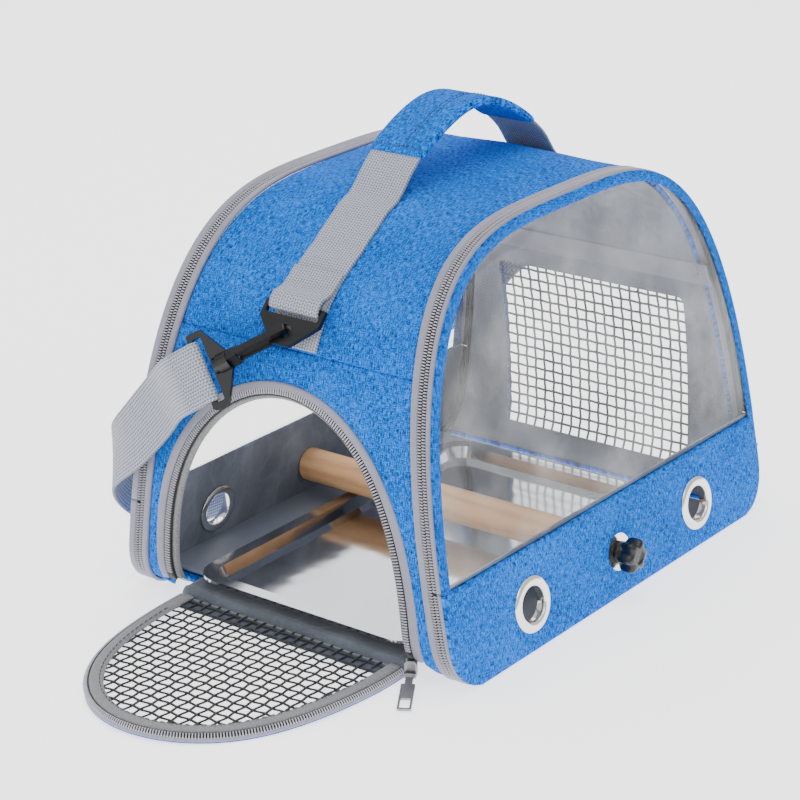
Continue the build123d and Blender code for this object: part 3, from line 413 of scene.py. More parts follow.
# ---------------------------------------------------------------- finishes
class Wire:
    """A node socket that takes arithmetic: an expression on wires adds Math nodes."""

    def __init__(self, finish, socket):
        self.finish = finish
        self.socket = socket

    def maths(self, operation, *values):
        return self.finish.node("ShaderNodeMath", {"operation": operation}, values)

    def __add__(self, other):
        return self.maths("ADD", self, other)

    def __sub__(self, other):
        return self.maths("SUBTRACT", self, other)

    def __rsub__(self, other):
        return self.maths("SUBTRACT", other, self)

    def __mul__(self, other):
        return self.maths("MULTIPLY", self, other)

    def __truediv__(self, other):
        return self.maths("DIVIDE", self, other)

    def __pow__(self, other):
        return self.maths("POWER", self, other)

    __radd__, __rmul__ = __add__, __mul__

    def sin(self):
        return self.maths("SINE", self)

    def size(self):
        return self.maths("ABSOLUTE", self)

    def above(self, edge, soft):
        """0 below the edge and 1 above it, over a soft step."""
        return self.finish.node(
            "ShaderNodeMapRange", {"clamp": True}, {0: self, 1: edge - soft, 2: edge + soft, 3: 0.0, 4: 1.0}
        )


class Finish:
    """A material whose nodes all come from `node`, with its shader's own sockets
    set where they are the same all over."""

    def __init__(self, name, **fixed):
        self.material = bpy.data.materials.new(name)
        self.material.use_nodes = True
        self.tree = self.material.node_tree
        self.tree.nodes.clear()
        self.output = self.tree.nodes.new("ShaderNodeOutputMaterial")
        self.shader = self.tree.nodes.new("ShaderNodeBsdfPrincipled")
        self.tree.links.new(self.shader.outputs[0], self.output.inputs["Surface"])
        for socket, value in fixed.items():
            self.shader.inputs[socket.replace("_", " ")].default_value = value
        self.material.diffuse_color = (*fixed.get("Base_Color", (0.5, 0.5, 0.5, 1))[:3], 1)

    def put(self, socket, value):
        if isinstance(value, Wire):
            self.tree.links.new(value.socket, socket)
        elif value is not None:
            socket.default_value = value

    def node(self, kind, settings=None, values=None, output=0):
        """Adds a node: its settings first, then values or wires for its sockets."""
        made = self.tree.nodes.new(kind)
        for name, value in (settings or {}).items():
            if name == "stops":
                ramp = made.color_ramp
                while len(ramp.elements) > 1:
                    ramp.elements.remove(ramp.elements[-1])
                for i, (place, colour) in enumerate(value):
                    stop = ramp.elements[0] if i == 0 else ramp.elements.new(place)
                    stop.position = place
                    stop.color = colour
            else:
                setattr(made, name, value)
        pairs = values.items() if isinstance(values, dict) else enumerate(values or ())
        for key, value in pairs:
            self.put(made.inputs[key], value)
        return Wire(self, made.outputs[output])

    def place(self):
        """Object coordinates in millimetres, as x, y and z."""
        vector = self.node("ShaderNodeTexCoord", output="Object")
        big = self.node("ShaderNodeVectorMath", {"operation": "SCALE"}, {0: vector, "Scale": 1000.0})
        split = self.node("ShaderNodeSeparateXYZ", None, [big])
        return big, [Wire(self, split.socket.node.outputs[i]) for i in range(3)]

    def cloth_map(self):
        """The piece's own map, u across and v along, in millimetres."""
        vector = self.node("ShaderNodeUVMap", {"uv_map": "UVMap"})
        split = self.node("ShaderNodeSeparateXYZ", None, [vector])
        return vector, Wire(self, split.socket.node.outputs[0]), Wire(self, split.socket.node.outputs[1])

    def vector(self, x, y, z=0.0):
        return self.node("ShaderNodeCombineXYZ", None, [x, y, z])

    def noise(self, vector, scale, detail=2.0, rough=0.5):
        return self.node(
            "ShaderNodeTexNoise", {"noise_dimensions": "3D"},
            {"Vector": vector, "Scale": scale, "Detail": detail, "Roughness": rough},
        )

    def mix(self, share, first, second):
        """Colour between two colours or wires."""
        made = self.tree.nodes.new("ShaderNodeMix")
        made.data_type = "RGBA"
        self.put(made.inputs[0], share)
        self.put(made.inputs[6], first)
        self.put(made.inputs[7], second)
        return Wire(self, made.outputs[2])

    def colour(self, wire):
        self.put(self.shader.inputs["Base Color"], wire)

    def rough(self, wire):
        self.put(self.shader.inputs["Roughness"], wire)

    def bump(self, height, depth, strength=1.0):
        """Relief: a height from 0 to 1 that stands for `depth` millimetres."""
        normal = self.node(
            "ShaderNodeBump", None, {"Strength": strength, "Distance": depth * 0.001, "Height": height}
        )
        self.put(self.shader.inputs["Normal"], normal)

    def wear(self, *pieces):
        for piece in pieces:
            piece.data.materials.clear()
            piece.data.materials.append(self.material)


def shade(rgb, factor):
    return (*[min(1.0, c * factor) for c in rgb[:3]], 1.0)


def heathered(name, rgb, contrast=1.0):
    """Melange canvas: plain weave whose yarns vary from dark to pale along them."""
    f = Finish(name, Roughness=0.85, Specular_IOR_Level=0.12)
    _, u, v = f.cloth_map()
    warp = f.noise(f.vector(u * 2.4, v * 0.24), 1.0, 2.0, 0.6)
    weft = f.noise(f.vector(u * 0.24, v * 2.4, 7.0), 1.0, 2.0, 0.6)
    cloud = f.noise(f.vector(u * 0.03, v * 0.03, 3.0), 1.0, 2.0, 0.5)
    speck = f.noise(f.vector(u * 1.3, v * 1.3, 11.0), 1.0, 3.0, 0.7)
    tone = (warp * 0.46 + weft * 0.34 + speck * 0.14 + cloud * 0.06 - 0.5) * (6.5 * contrast) + 0.5
    f.colour(f.node("ShaderNodeValToRGB", {"stops": [
        (0.0, shade(rgb, 0.10)), (0.34, shade(rgb, 0.5)), (0.55, shade(rgb, 1.0)),
        (0.8, shade((rgb[0] + 0.01, rgb[1] * 1.35, rgb[2] * 1.1), 1.0)),
        (1.0, shade((rgb[0] + 0.03, rgb[1] * 1.8, rgb[2] * 1.2), 1.0)),
    ]}, [tone]))
    weave = (u * 5.2).sin() * (v * 5.2).sin()
    f.bump(weave * 0.35 + tone * 0.45 + 0.2, 0.22)
    return f


def webbing(name, rgb):
    """Woven webbing: columns of yarn along it, bound by fine ribs across."""
    f = Finish(name, Roughness=0.7, Sheen_Weight=0.12, Specular_IOR_Level=0.3)
    _, u, v = f.cloth_map()
    column = (u * 3.1).sin() * 0.5 + 0.5
    rib = (v * 3.3 + (u * 1.55).sin() * 1.5).sin() * 0.5 + 0.5
    yarn = f.noise(f.vector(u * 1.6, v * 0.25), 1.0, 2.0, 0.6)
    speck = f.noise(f.vector(u * 0.9, v * 0.9, 5.0), 1.0, 2.0, 0.6)
    tone = (column * 0.26 + rib * 0.26 + yarn * 0.3 + speck * 0.18 - 0.5) * 1.7 + 0.52
    f.colour(f.node("ShaderNodeValToRGB", {"stops": [
        (0.2, shade(rgb, 0.42)), (0.5, shade(rgb, 0.92)), (0.8, shade(rgb, 1.35)),
    ]}, [tone]))
    f.bump(column * 0.55 + rib * 0.45, 0.4)
    return f


def zip_tape(name, rgb):
    """Flat zip tape and piping: close knitted cloth with a soft lengthwise grain."""
    f = Finish(name, Roughness=0.66, Sheen_Weight=0.2, Specular_IOR_Level=0.3)
    _, u, v = f.cloth_map()
    grain = f.noise(f.vector(u * 2.2, v * 0.5), 1.0, 2.0, 0.6)
    cloud = f.noise(f.vector(u * 0.12, v * 0.05, 2.0), 1.0, 2.0, 0.5)
    tone = grain * 0.6 + cloud * 0.4
    f.colour(f.node("ShaderNodeValToRGB", {"stops": [
        (0.25, shade(rgb, 0.74)), (0.5, shade(rgb, 0.97)), (0.75, shade(rgb, 1.15)),
    ]}, [tone]))
    f.bump(grain * 0.6 + (v * 4.2).sin() * 0.2, 0.12)
    return f


def nylon(name, rgb):
    """Moulded zip teeth: smooth and a little glossy, their pale grey partly their own colour and partly a
    painted highlight; the dark between them is painted shade, from the near-black strip laid under them.
    """
    f = Finish(name, Roughness=0.36, Specular_IOR_Level=0.5)
    big, _ = f.place()
    tone = f.noise(big, 0.6, 1.0)
    f.colour(f.mix(tone, shade(rgb, 0.8), shade(rgb, 1.2)))
    return f


def felt(name, rgb):
    """Soft felt binding with matted fibres."""
    f = Finish(name, Roughness=0.95, Sheen_Weight=0.5, Specular_IOR_Level=0.15)
    _, u, v = f.cloth_map()
    fibre = f.noise(f.vector(u * 0.8, v * 0.8), 1.0, 5.0, 0.8)
    f.colour(f.node("ShaderNodeValToRGB", {"stops": [
        (0.3, shade(rgb, 0.45)), (0.5, shade(rgb, 0.95)), (0.7, shade(rgb, 1.5)),
    ]}, [fibre]))
    f.bump(fibre, 1.0)
    return f


def coated_lining(name, rgb):
    """Coated lining cloth: smooth with a low sheen and soft creases, its colour darkened in the crease
    hollows as painted shade and lightened on the raised folds as painted highlight.
    """
    f = Finish(name, Roughness=0.5, Sheen_Weight=0.3, Specular_IOR_Level=0.45)
    _, u, v = f.cloth_map()
    grain = f.noise(f.vector(u * 1.3, v * 0.3), 1.0, 2.0, 0.6)
    crease = f.noise(f.vector(u * 0.035, v * 0.02, 4.0), 1.0, 3.0, 0.55)
    fold = f.noise(f.vector(u * 0.045, v * 0.03, 9.0), 1.0, 1.0, 0.5)
    fold = 1.0 - (fold - 0.5).size() * 14.0
    fold = fold.above(0.5, 0.5)
    # Colour follows the crease and fold relief: painted shade in the hollows, painted highlight on the
    # ridges.
    tone = grain * 0.3 + crease * 0.62 + fold * 0.07
    f.colour(f.node("ShaderNodeValToRGB", {"stops": [
        (0.3, shade(rgb, 0.62)), (0.5, shade(rgb, 1.0)), (0.72, shade(rgb, 1.55)),
    ]}, [tone]))
    f.rough(crease * 0.4 + 0.32)
    f.bump(crease * 0.8 + grain * 0.1 + fold * 0.1, 3.2, 0.7)
    return f


def mesh_cord(name, rgb):
    """Knitted mesh cord with a fine twist."""
    f = Finish(name, Roughness=0.62, Sheen_Weight=0.15)
    big, axes = f.place()
    twist = ((axes[0] + axes[1] + axes[2]) * 5.0).sin() * 0.5 + 0.5
    cloud = f.noise(big, 0.5, 2.0)
    f.colour(f.mix(twist * 0.6 + cloud * 0.4, shade(rgb, 0.6), shade(rgb, 1.45)))
    f.bump(twist, 0.15)
    return f


def clear_sheet(name):
    """Clear soft vinyl: sees through face on, mirrors at a glance, with faint haze."""
    f = Finish(name, Base_Color=(0.93, 0.95, 0.96, 1), Metallic=0.75, Roughness=0.06, Alpha=0.08)
    f.material.surface_render_method = "BLENDED"
    big, _ = f.place()
    wave = f.noise(big, 0.011, 1.0, 0.4)
    haze = f.noise(big, 0.02, 3.0, 0.6)
    facing = f.node("ShaderNodeLayerWeight", None, {"Blend": 0.5}, 1)
    f.put(f.shader.inputs["Alpha"], (facing ** 5.0) * 0.6 + haze.above(0.56, 0.16) * 0.06 + 0.02)
    f.rough(haze * 0.10 + 0.02)
    f.bump(wave, 5.0, 0.5)
    return f


def plated(name, rgb, rough=0.16):
    """Bright plating with faint handling marks."""
    f = Finish(name, Base_Color=(*rgb, 1), Metallic=1.0, Roughness=rough)
    big, _ = f.place()
    mark = f.noise(big, 0.35, 4.0, 0.65)
    f.rough(mark * 0.16 + (rough - 0.06))
    f.colour(f.mix(mark, shade(rgb, 0.88), shade(rgb, 1.06)))
    return f


def rolled_steel(name, rgb):
    """Pressed stainless sheet: mirror bright, softly rippled, faint rolling lines."""
    f = Finish(name, Base_Color=(*rgb, 1), Metallic=1.0, Roughness=0.1)
    big, axes = f.place()
    line = f.noise(f.vector(axes[0] * 0.02, axes[1] * 2.2), 1.0, 2.0, 0.6)
    wave = f.noise(big, 0.02, 2.0, 0.5)
    f.rough(line * 0.10 + 0.05)
    f.colour(f.mix(line, shade(rgb, 0.93), shade(rgb, 1.05)))
    f.bump(wave, 1.2, 0.5)
    return f


def moulded(name, rgb, rough=0.42):
    """Moulded plastic with a fine spark texture and paler worn high spots."""
    f = Finish(name, Roughness=rough, Specular_IOR_Level=0.5)
    big, _ = f.place()
    grain = f.noise(big, 1.6, 3.0, 0.7)
    cloud = f.noise(big, 0.12, 2.0)
    f.colour(f.mix(cloud, shade(rgb, 0.85), shade(rgb, 1.35)))
    f.rough(cloud * 0.2 + (rough - 0.08))
    f.bump(grain, 0.08)
    return f


def turned_wood(name, rgb):
    """Sanded beech dowel: grain along Y with darker flecks."""
    f = Finish(name, Roughness=0.55, Specular_IOR_Level=0.35)
    big, axes = f.place()
    bend = f.noise(f.vector(axes[0] * 0.05, axes[1] * 0.006, axes[2] * 0.05), 1.0, 2.0)
    ring = ((axes[0] * 0.42 + axes[2] * 0.30 + bend * 9.0) * 1.3).sin() * 0.5 + 0.5
    fleck = f.noise(f.vector(axes[0] * 1.4, axes[1] * 0.09, axes[2] * 1.4), 1.0, 3.0, 0.6)
    tone = ring * 0.35 + fleck * 0.65
    f.colour(f.node("ShaderNodeValToRGB", {"stops": [
        (0.2, shade(rgb, 0.72)), (0.5, shade(rgb, 0.98)), (0.8, shade(rgb, 1.15)),
    ]}, [tone]))
    f.bump(fleck, 0.1)
    return f


FINISHES = {}


def finish(key):
    """Each finish once, made when it is first asked for."""
    sizes = bpy.context.scene.carrier
    makers = {
        "canvas": lambda: heathered("blue_canvas", tuple(sizes.canvas)),
        "edging": lambda: heathered("blue_edging", shade(tuple(sizes.canvas), 0.82)[:3], 0.7),
        "webbing": lambda: webbing("grey_webbing", tuple(sizes.webbing)),
        "tape": lambda: zip_tape("grey_zip_tape", tuple(sizes.tape)),
        # near-black strip laid under the zip teeth: painted shade for the gaps between the teeth
        "dark_tape": lambda: zip_tape("chain_gap_shade", (0.012, 0.013, 0.018)),
        # teeth of a pale grey that is partly a painted highlight on their tops
        "teeth": lambda: nylon("zip_teeth", (0.52, 0.51, 0.57)),
        "felt": lambda: felt("grey_felt", (0.27, 0.275, 0.29)),
        "lining": lambda: coated_lining("slate_lining", tuple(sizes.lining)),
        "sill": lambda: coated_lining("sill_tape", (0.10, 0.12, 0.15)),
        "mesh": lambda: mesh_cord("dark_mesh", (0.004, 0.005, 0.008)),
        "vent": lambda: mesh_cord("slate_mesh", (0.075, 0.09, 0.10)),
        "hem": lambda: coated_lining("navy_hem", (0.016, 0.032, 0.075)),
        "vinyl": lambda: clear_sheet("clear_vinyl"),
        "nickel": lambda: plated("nickel", (0.86, 0.85, 0.82), 0.14),
        "gunmetal": lambda: plated("gunmetal", (0.30, 0.30, 0.31), 0.32),
        "steel": lambda: rolled_steel("tray_steel", (0.54, 0.55, 0.575)),
        "plastic": lambda: moulded("black_plastic", (0.003, 0.003, 0.004), 0.28),
        "wood": lambda: turned_wood("beech", tuple(sizes.wood)),
        "thread": lambda: zip_tape("stitching", (0.01, 0.05, 0.20)),
        "grey_thread": lambda: zip_tape("grey_stitching", (0.05, 0.05, 0.06)),
    }
    if key not in FINISHES:
        FINISHES[key] = makers[key]()
    return FINISHES[key]


def done(piece, look, body, slot, *nodes):
    """Dress a finished piece, put it on its body and let it stand for its solids."""
    finish(look).wear(piece)
    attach(piece, body)
    if nodes:
        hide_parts(*nodes)
    return piece


# ------------------------------------------------------------ shared shapes
def seam_dip(distance, depth=1.4, width=2.6):
    """Cloth pulled in at a seam: a depth that dies away with distance from it."""
    return depth * np.exp(-np.maximum(distance, 0) / width)


def end_outline(angle, corner, top, foot):
    """Border of the door end panel: up the piping, across the seam and down again."""
    share = np.clip(np.sin(angle) / math.sin(corner), 0, 1) ** (2 / 2.6)
    z = foot + (top - foot) * share
    y_top = face_y(top, ZIP_WIDTH) * np.cos(angle) / math.cos(corner)
    y = np.where(share < 1, np.sign(np.cos(angle)) * face_y(z, ZIP_WIDTH), y_top)
    return y, z


def door_end_sheet(lift, inner_half, inner_top, rows=181, columns=22, foot=1.0):
    """Ring of cloth between the doorway and the panel's border, on the end wall."""
    a = np.linspace(0, np.pi, rows)
    corner = math.radians(50)
    yi, zi = doorway_outline(a, inner_half, inner_top)
    yo, zo = end_outline(a, corner, NEAR_SEAM, foot)
    r = np.linspace(0, 1, columns)[None] ** 1.0
    y = yi[:, None] + (yo - yi)[:, None] * r
    z = zi[:, None] + (zo - zi)[:, None] * r
    gap = np.hypot(yo - yi, zo - zi)[:, None]
    dip = seam_dip(gap * (1 - r)) + seam_dip(gap * r, 0.9, 2.0)
    ripple = 0.5 * np.sin(z / 13.0 + y / 31.0) * np.sin(y / 17.0 + 1.0) * np.sin(np.pi * r)
    points = on_end_wall(y, z, lift - dip + ripple)
    return points, np.stack([y, run_at(z)], -1)


def box_loop(half, low, high, radius, count):
    """Closed loop round a rectangle in (y, z), its corners rounded by pushing the
    outline a radius out from a smaller rectangle. `half` may depend on z."""
    t = np.linspace(-1, 1, count, endpoint=False)
    y = np.concatenate([t, np.ones(count), -t, -np.ones(count)])
    s = np.concatenate([-np.ones(count), t, np.ones(count), -t])
    z = (low + high) / 2 + s * (high - low) / 2
    y = y * (half(z) if callable(half) else half)
    if radius:
        cy = np.clip(y, -(half - radius), half - radius)
        cz = np.clip(z, low + radius, high - radius)
        d = unit(np.stack([y - cy, z - cz], -1))
        y, z = cy + d[:, 0] * radius, cz + d[:, 1] * radius
    return y, z


def far_end_sheet(lift, columns=18, count=60):
    """Ring of cloth between the far mesh window and the panel's border."""
    tuck = 1.2 if lift < -2 else 0.0
    yi, zi = box_loop(78.0 - tuck, 16.0 + tuck, 145.0 - tuck, 4.0, count)
    yo, zo = box_loop(lambda z: face_y(z, ZIP_WIDTH), 1.0, FAR_SEAM, 0, count)
    r = np.linspace(0, 1, columns)[None]
    y = yi[:, None] + (yo - yi)[:, None] * r
    z = zi[:, None] + (zo - zi)[:, None] * r
    gap = np.hypot(yo - yi, zo - zi)[:, None]
    dip = seam_dip(gap * (1 - r)) + seam_dip(gap * r, 0.8, 1.6)
    points = on_end_wall(y, z, lift - dip, 1)
    return points, np.stack([y, run_at(z, True)], -1)


def top_sheet(lift, rows=260, columns=96):
    """The top panel's cloth, from the near seam over the crown to the far seam."""
    start, stop = run_at(NEAR_SEAM), run_at(FAR_SEAM, True)
    run = np.linspace(start, stop, rows)[:, None]
    across = np.linspace(-1, 1, columns)[None]
    edge = face_y(arch(run)[1], ZIP_WIDTH)
    dip = seam_dip(run - start) + seam_dip(stop - run) + seam_dip((1 - abs(across)) * edge)
    points = cloth_point(run, across, -lift, dip)
    u = edge * across
    return points, np.stack([u, run + 0 * u], -1)


def face_patch(side, depth, x, z):
    """Point on a window face, or a surface `depth` inside it."""
    return np.stack([x + 0 * z, side * face_y(z, depth) + 0 * x, z + 0 * x], -1)


def side_edge(z, far):
    """x of the arch's edge at height z, on the near or far side."""
    run = run_at(z, far)
    return arch(run)[0]


def band_sheets(side, depth, bore, puff, foot=0.8, top=BAND_TOP):
    """The lower band's cloth in five patches, two of them rings round the eyelets."""
    sheets = []
    z = np.linspace(foot, top, 25)

    def skin(x, z):
        near, far = side_edge(z, False), side_edge(z, True)
        edge = np.minimum(np.minimum(z - foot, top - z), np.minimum(x - near, far - x))
        swell = puff * (1 - np.exp(-np.maximum(edge, 0) / 4.0))
        swell = swell + 0.35 * puff * np.sin(x / 23.0 + 1.0) * np.sin(z / 14.0)
        for middle in (-92.7, 92.7):
            out = np.hypot(x - middle, z - 29.5)
            swell = swell * (1 - np.exp(-np.maximum(out - 16, 0) / 5.0))
        return face_patch(side, depth - swell, x, z)

    for left, right in ((None, -114.0), (-71.4, 71.4), (114.0, None)):
        u = np.linspace(0, 1, 60 if left and right else 24)[:, None]
        low = side_edge(z, False)[None] if left is None else left
        high = side_edge(z, True)[None] if right is None else right
        x = low + (high - low) * u + 0 * z[None]
        zz = z[None] + 0 * x
        sheets.append((skin(x, zz), np.stack([x, zz / LEAN_COS], -1), False))
    for middle in (-92.7, 92.7):
        n = 24
        t = np.linspace(-1, 1, n, endpoint=False)
        ox = np.concatenate([t, np.ones(n), -t, -np.ones(n)]) * 21.3
        os = np.concatenate([-np.ones(n), t, np.ones(n), -t])
        oz = (foot + top) / 2 + os * (top - foot) / 2
        d = unit(np.stack([ox, oz - 29.5], -1))
        r = np.linspace(0, 1, 14)[None]
        x = middle + d[:, :1] * bore * (1 - r) + ox[:, None] * r
        zz = 29.5 + d[:, 1:] * bore * LEAN_COS * (1 - r) + (oz - 29.5)[:, None] * r
        sheets.append((skin(x, zz), np.stack([x, zz / LEAN_COS], -1), True))
    return sheets


def hoop(side, run, depth, lift):
    """Points along the arch at a depth from a window face, lifted off the skin."""
    x, z, nx, nz = arch(run, lift)
    return np.stack([x, side * face_y(z, depth) + 0 * x, z], -1)


def hoop_strip(side, run, profile):
    """Strip along the arch whose section is a list of (depth, lift) points."""
    section = np.asarray(profile, float)
    points = np.stack([hoop(side, run, d, h) for d, h in section], 1)
    u = np.broadcast_to(section[None, :, 0], points.shape[:2])
    v = np.broadcast_to(run[:, None], points.shape[:2])
    return points, np.stack([u, v], -1)


def door_point(y, v, z):
    """Point of the open door: y across, v out from the hinge, z up."""
    return np.stack(np.broadcast_arrays(HINGE_X - v, y, z), -1)


def door_outline(angle, inset):
    """The door's outline, inset all round: half cos a across, length sin^(2/2.6) a out."""
    half, reach_out = 91.5 - inset, 151.0 - inset
    return half * np.cos(angle), reach_out * np.clip(np.sin(angle), 0, 1) ** (2 / 2.6)


def door_sag(y, v):
    """Height that the door's cloth gains or loses: it lies in soft waves."""
    wave = 0.35 * np.sin(v / 19.0 + y / 45.0) + 0.25 * np.sin(y / 23.0 + 1.3)
    return wave * np.clip(v / 30.0, 0, 1)


def door_strip(profile, start=4.0, rows=220):
    """Strip round the door's edge whose section is a list of (inset, height)."""
    low = math.asin((start / 151.0) ** 1.3)
    a = np.linspace(low, np.pi - low, rows)
    grid, uv = [], []
    for inset, z in profile:
        y, v = door_outline(a, inset)
        grid.append(door_point(y, v, z + door_sag(y, v)))
        uv.append(np.stack([np.full(rows, inset), np.zeros(rows)], -1))
    grid = np.stack(grid, 1)
    uv = np.stack(uv, 1)
    run = np.concatenate([[0], np.cumsum(np.linalg.norm(np.diff(grid[:, 0], axis=0), axis=1))])
    uv[..., 1] = run[:, None]
    return grid, uv


def doorway_strip(profile, rows=220, low=0.03):
    """Strip round the doorway on the end wall: (share from edge to seam, lift)."""
    a = np.linspace(low, np.pi - low, rows)
    grid, uv = [], []
    for share, lift in profile:
        y, z = doorway_outline(a, 94.0 + 12.0 * share, 157.5 + 8.0 * share)
        grid.append(on_end_wall(y, z, lift))
        uv.append(np.stack([np.full(rows, share * 10), np.zeros(rows)], -1))
    grid, uv = np.stack(grid, 1), np.stack(uv, 1)
    run = np.concatenate([[0], np.cumsum(np.linalg.norm(np.diff(grid[:, 0], axis=0), axis=1))])
    uv[..., 1] = run[:, None]
    return grid, uv


def cords(name, lines, width, height, sides=6):
    """Mesh cords: one closed tube of oval section for each line, as one mesh. Every
    line is (points, across, up)."""
    a = np.linspace(0, 2 * np.pi, sides, endpoint=False) + np.pi / sides
    points, faces, start = [], [], 0
    for path, across, up in lines:
        ring = np.cos(a)[None, :, None] * across[:, None] * width / 2
        ring = ring + np.sin(a)[None, :, None] * up[:, None] * height / 2
        grid = path[:, None] + ring
        rows = len(path)
        points.append(grid.reshape(-1, 3))
        faces += grid_faces(rows, sides, False, True, start).tolist()
        faces.append((start + np.arange(sides))[::-1].tolist())
        faces.append((start + (rows - 1) * sides + np.arange(sides)).tolist())
        start += rows * sides
    mesh = bpy.data.meshes.new(name)
    mesh.from_pydata(np.concatenate(points) * 0.001, [], faces)
    mesh.polygons.foreach_set("use_smooth", np.full(len(mesh.polygons), True))
    mesh.update()
    piece = bpy.data.objects.new(name, mesh)
    bpy.context.scene.collection.objects.link(piece)
    face_out(piece)
    return piece


def stitches(name, path, up, length=2.6, gap=1.4, radius=0.28):
    """Row of stitches: short rounded bars end to end along a path, sunk at both ends."""
    run = np.concatenate([[0], np.cumsum(np.linalg.norm(np.diff(path, axis=0), axis=1))])
    starts = np.arange(0.5, run[-1] - length, length + gap)
    t = np.array([0, 0.2, 0.8, 1.0])
    at = starts[:, None] + t[None] * length
    p = np.stack([np.interp(at, run, path[:, k]) for k in range(3)], -1)
    n = unit(np.stack([np.interp(at, run, up[:, k]) for k in range(3)], -1))
    p = p + n * (np.array([-0.15, radius, radius, -0.15]))[None, :, None]
    d = unit(p[:, -1] - p[:, 0])[:, None]
    b = np.cross(d + 0 * p, n)
    a = np.radians([45, 135, 225, 315])
    grid = p[:, :, None] + (
        np.cos(a)[None, None, :, None] * b[:, :, None] + np.sin(a)[None, None, :, None] * n[:, :, None]
    ) * radius
    count, faces = len(starts), []
    one = grid_faces(4, 4, False, True)
    caps = np.array([[3, 2, 1, 0], [12, 13, 14, 15]])
    base = (np.arange(count) * 16)[:, None, None]
    faces = np.concatenate([(base + one[None]).reshape(-1, 4), (base + caps[None]).reshape(-1, 4)])
    piece = to_mesh(name, grid.reshape(-1, 3), faces)
    face_out(piece)
    return piece


def joined(name, parts):
    """One piece of several, so that like pieces stay together."""
    bpy.ops.object.select_all(action="DESELECT")
    for part in parts:
        part.select_set(True)
    bpy.context.view_layer.objects.active = parts[0]
    bpy.ops.object.join()
    whole = bpy.context.view_layer.objects.active
    whole.name = name
    whole.data.name = name
    return whole


SIDES = (("front", -1), ("back", 1))
EXTENT = (run_at(0.8), run_at(0.8, True))
WINDOW = (run_at(BAND_TOP + 0.4), run_at(BAND_TOP + 0.4, True))


def spread(low, high, step=2.5):
    return np.linspace(low, high, max(8, int((high - low) / step)))


# --------------------------------------------------------------- operators
class Maker:
    """What every operator here shares."""

    bl_options = {"REGISTER", "UNDO"}

    def execute(self, context):
        self.make(context.scene.carrier)
        return {"FINISHED"}


class MakeStage(Maker, bpy.types.Operator):
    """Pale floor, soft studio light and the camera"""

    bl_idname = "carrier.stage"
    bl_label = "Stage"

    def make(self, sizes):
        bpy.ops.mesh.primitive_plane_add(size=12.0, location=(0, 0, -0.0002))
        floor = bpy.context.active_object
        floor.name = "studio_floor"
        paper = Finish(
            "studio_paper", Base_Color=(0.95, 0.95, 0.95, 1), Roughness=0.9, Specular_IOR_Level=0.1,
            Emission_Color=(1, 1, 1, 1), Emission_Strength=1.6,
        )
        paper.wear(floor)
        world = bpy.data.worlds.new("studio")
        world.use_nodes = True
        world.node_tree.nodes["Background"].inputs[0].default_value = (1, 1, 1, 1)
        world.node_tree.nodes["Background"].inputs[1].default_value = 0.85
        bpy.context.scene.world = world
        for name, place, power, size in (
            ("key", (-0.9, -1.7, 1.9), 15, 1.2),
            ("fill", (-2.1, 0.2, 1.2), 8, 1.6),
            ("top", (0.3, 0.4, 2.4), 34, 1.8),
            ("rim", (1.4, 1.4, 1.4), 8, 1.2),
        ):
            lamp = bpy.data.lights.new(name, "AREA")
            lamp.energy = power
            lamp.size = size
            lit = bpy.data.objects.new(name, lamp)
            lit.location = place
            lit.rotation_mode = "QUATERNION"
            lit.rotation_quaternion = (Vector((0, 0, 0.12)) - Vector(place)).to_track_quat("-Z", "Y")
            bpy.context.scene.collection.objects.link(lit)
        lens = bpy.data.cameras.new("camera")
        lens.sensor_width = 36.0
        lens.lens = 2502.927 * 36.0 / 800
        lens.clip_start, lens.clip_end = 0.05, 50
        camera = bpy.data.objects.new("camera", lens)
        right = Vector((0.62083165, -0.78334915, -0.03053142))
        up = Vector((0.30195519, 0.20300608, 0.93145671))
        back = Vector((-0.72345775, -0.58749693, 0.36256894))
        turn = Matrix((right, up, back)).transposed()
        camera.matrix_world = Matrix.Translation((-1.20218778, -0.93385128, 0.69699561)) @ turn.to_4x4()
        bpy.context.scene.collection.objects.link(camera)
        bpy.context.scene.camera = camera


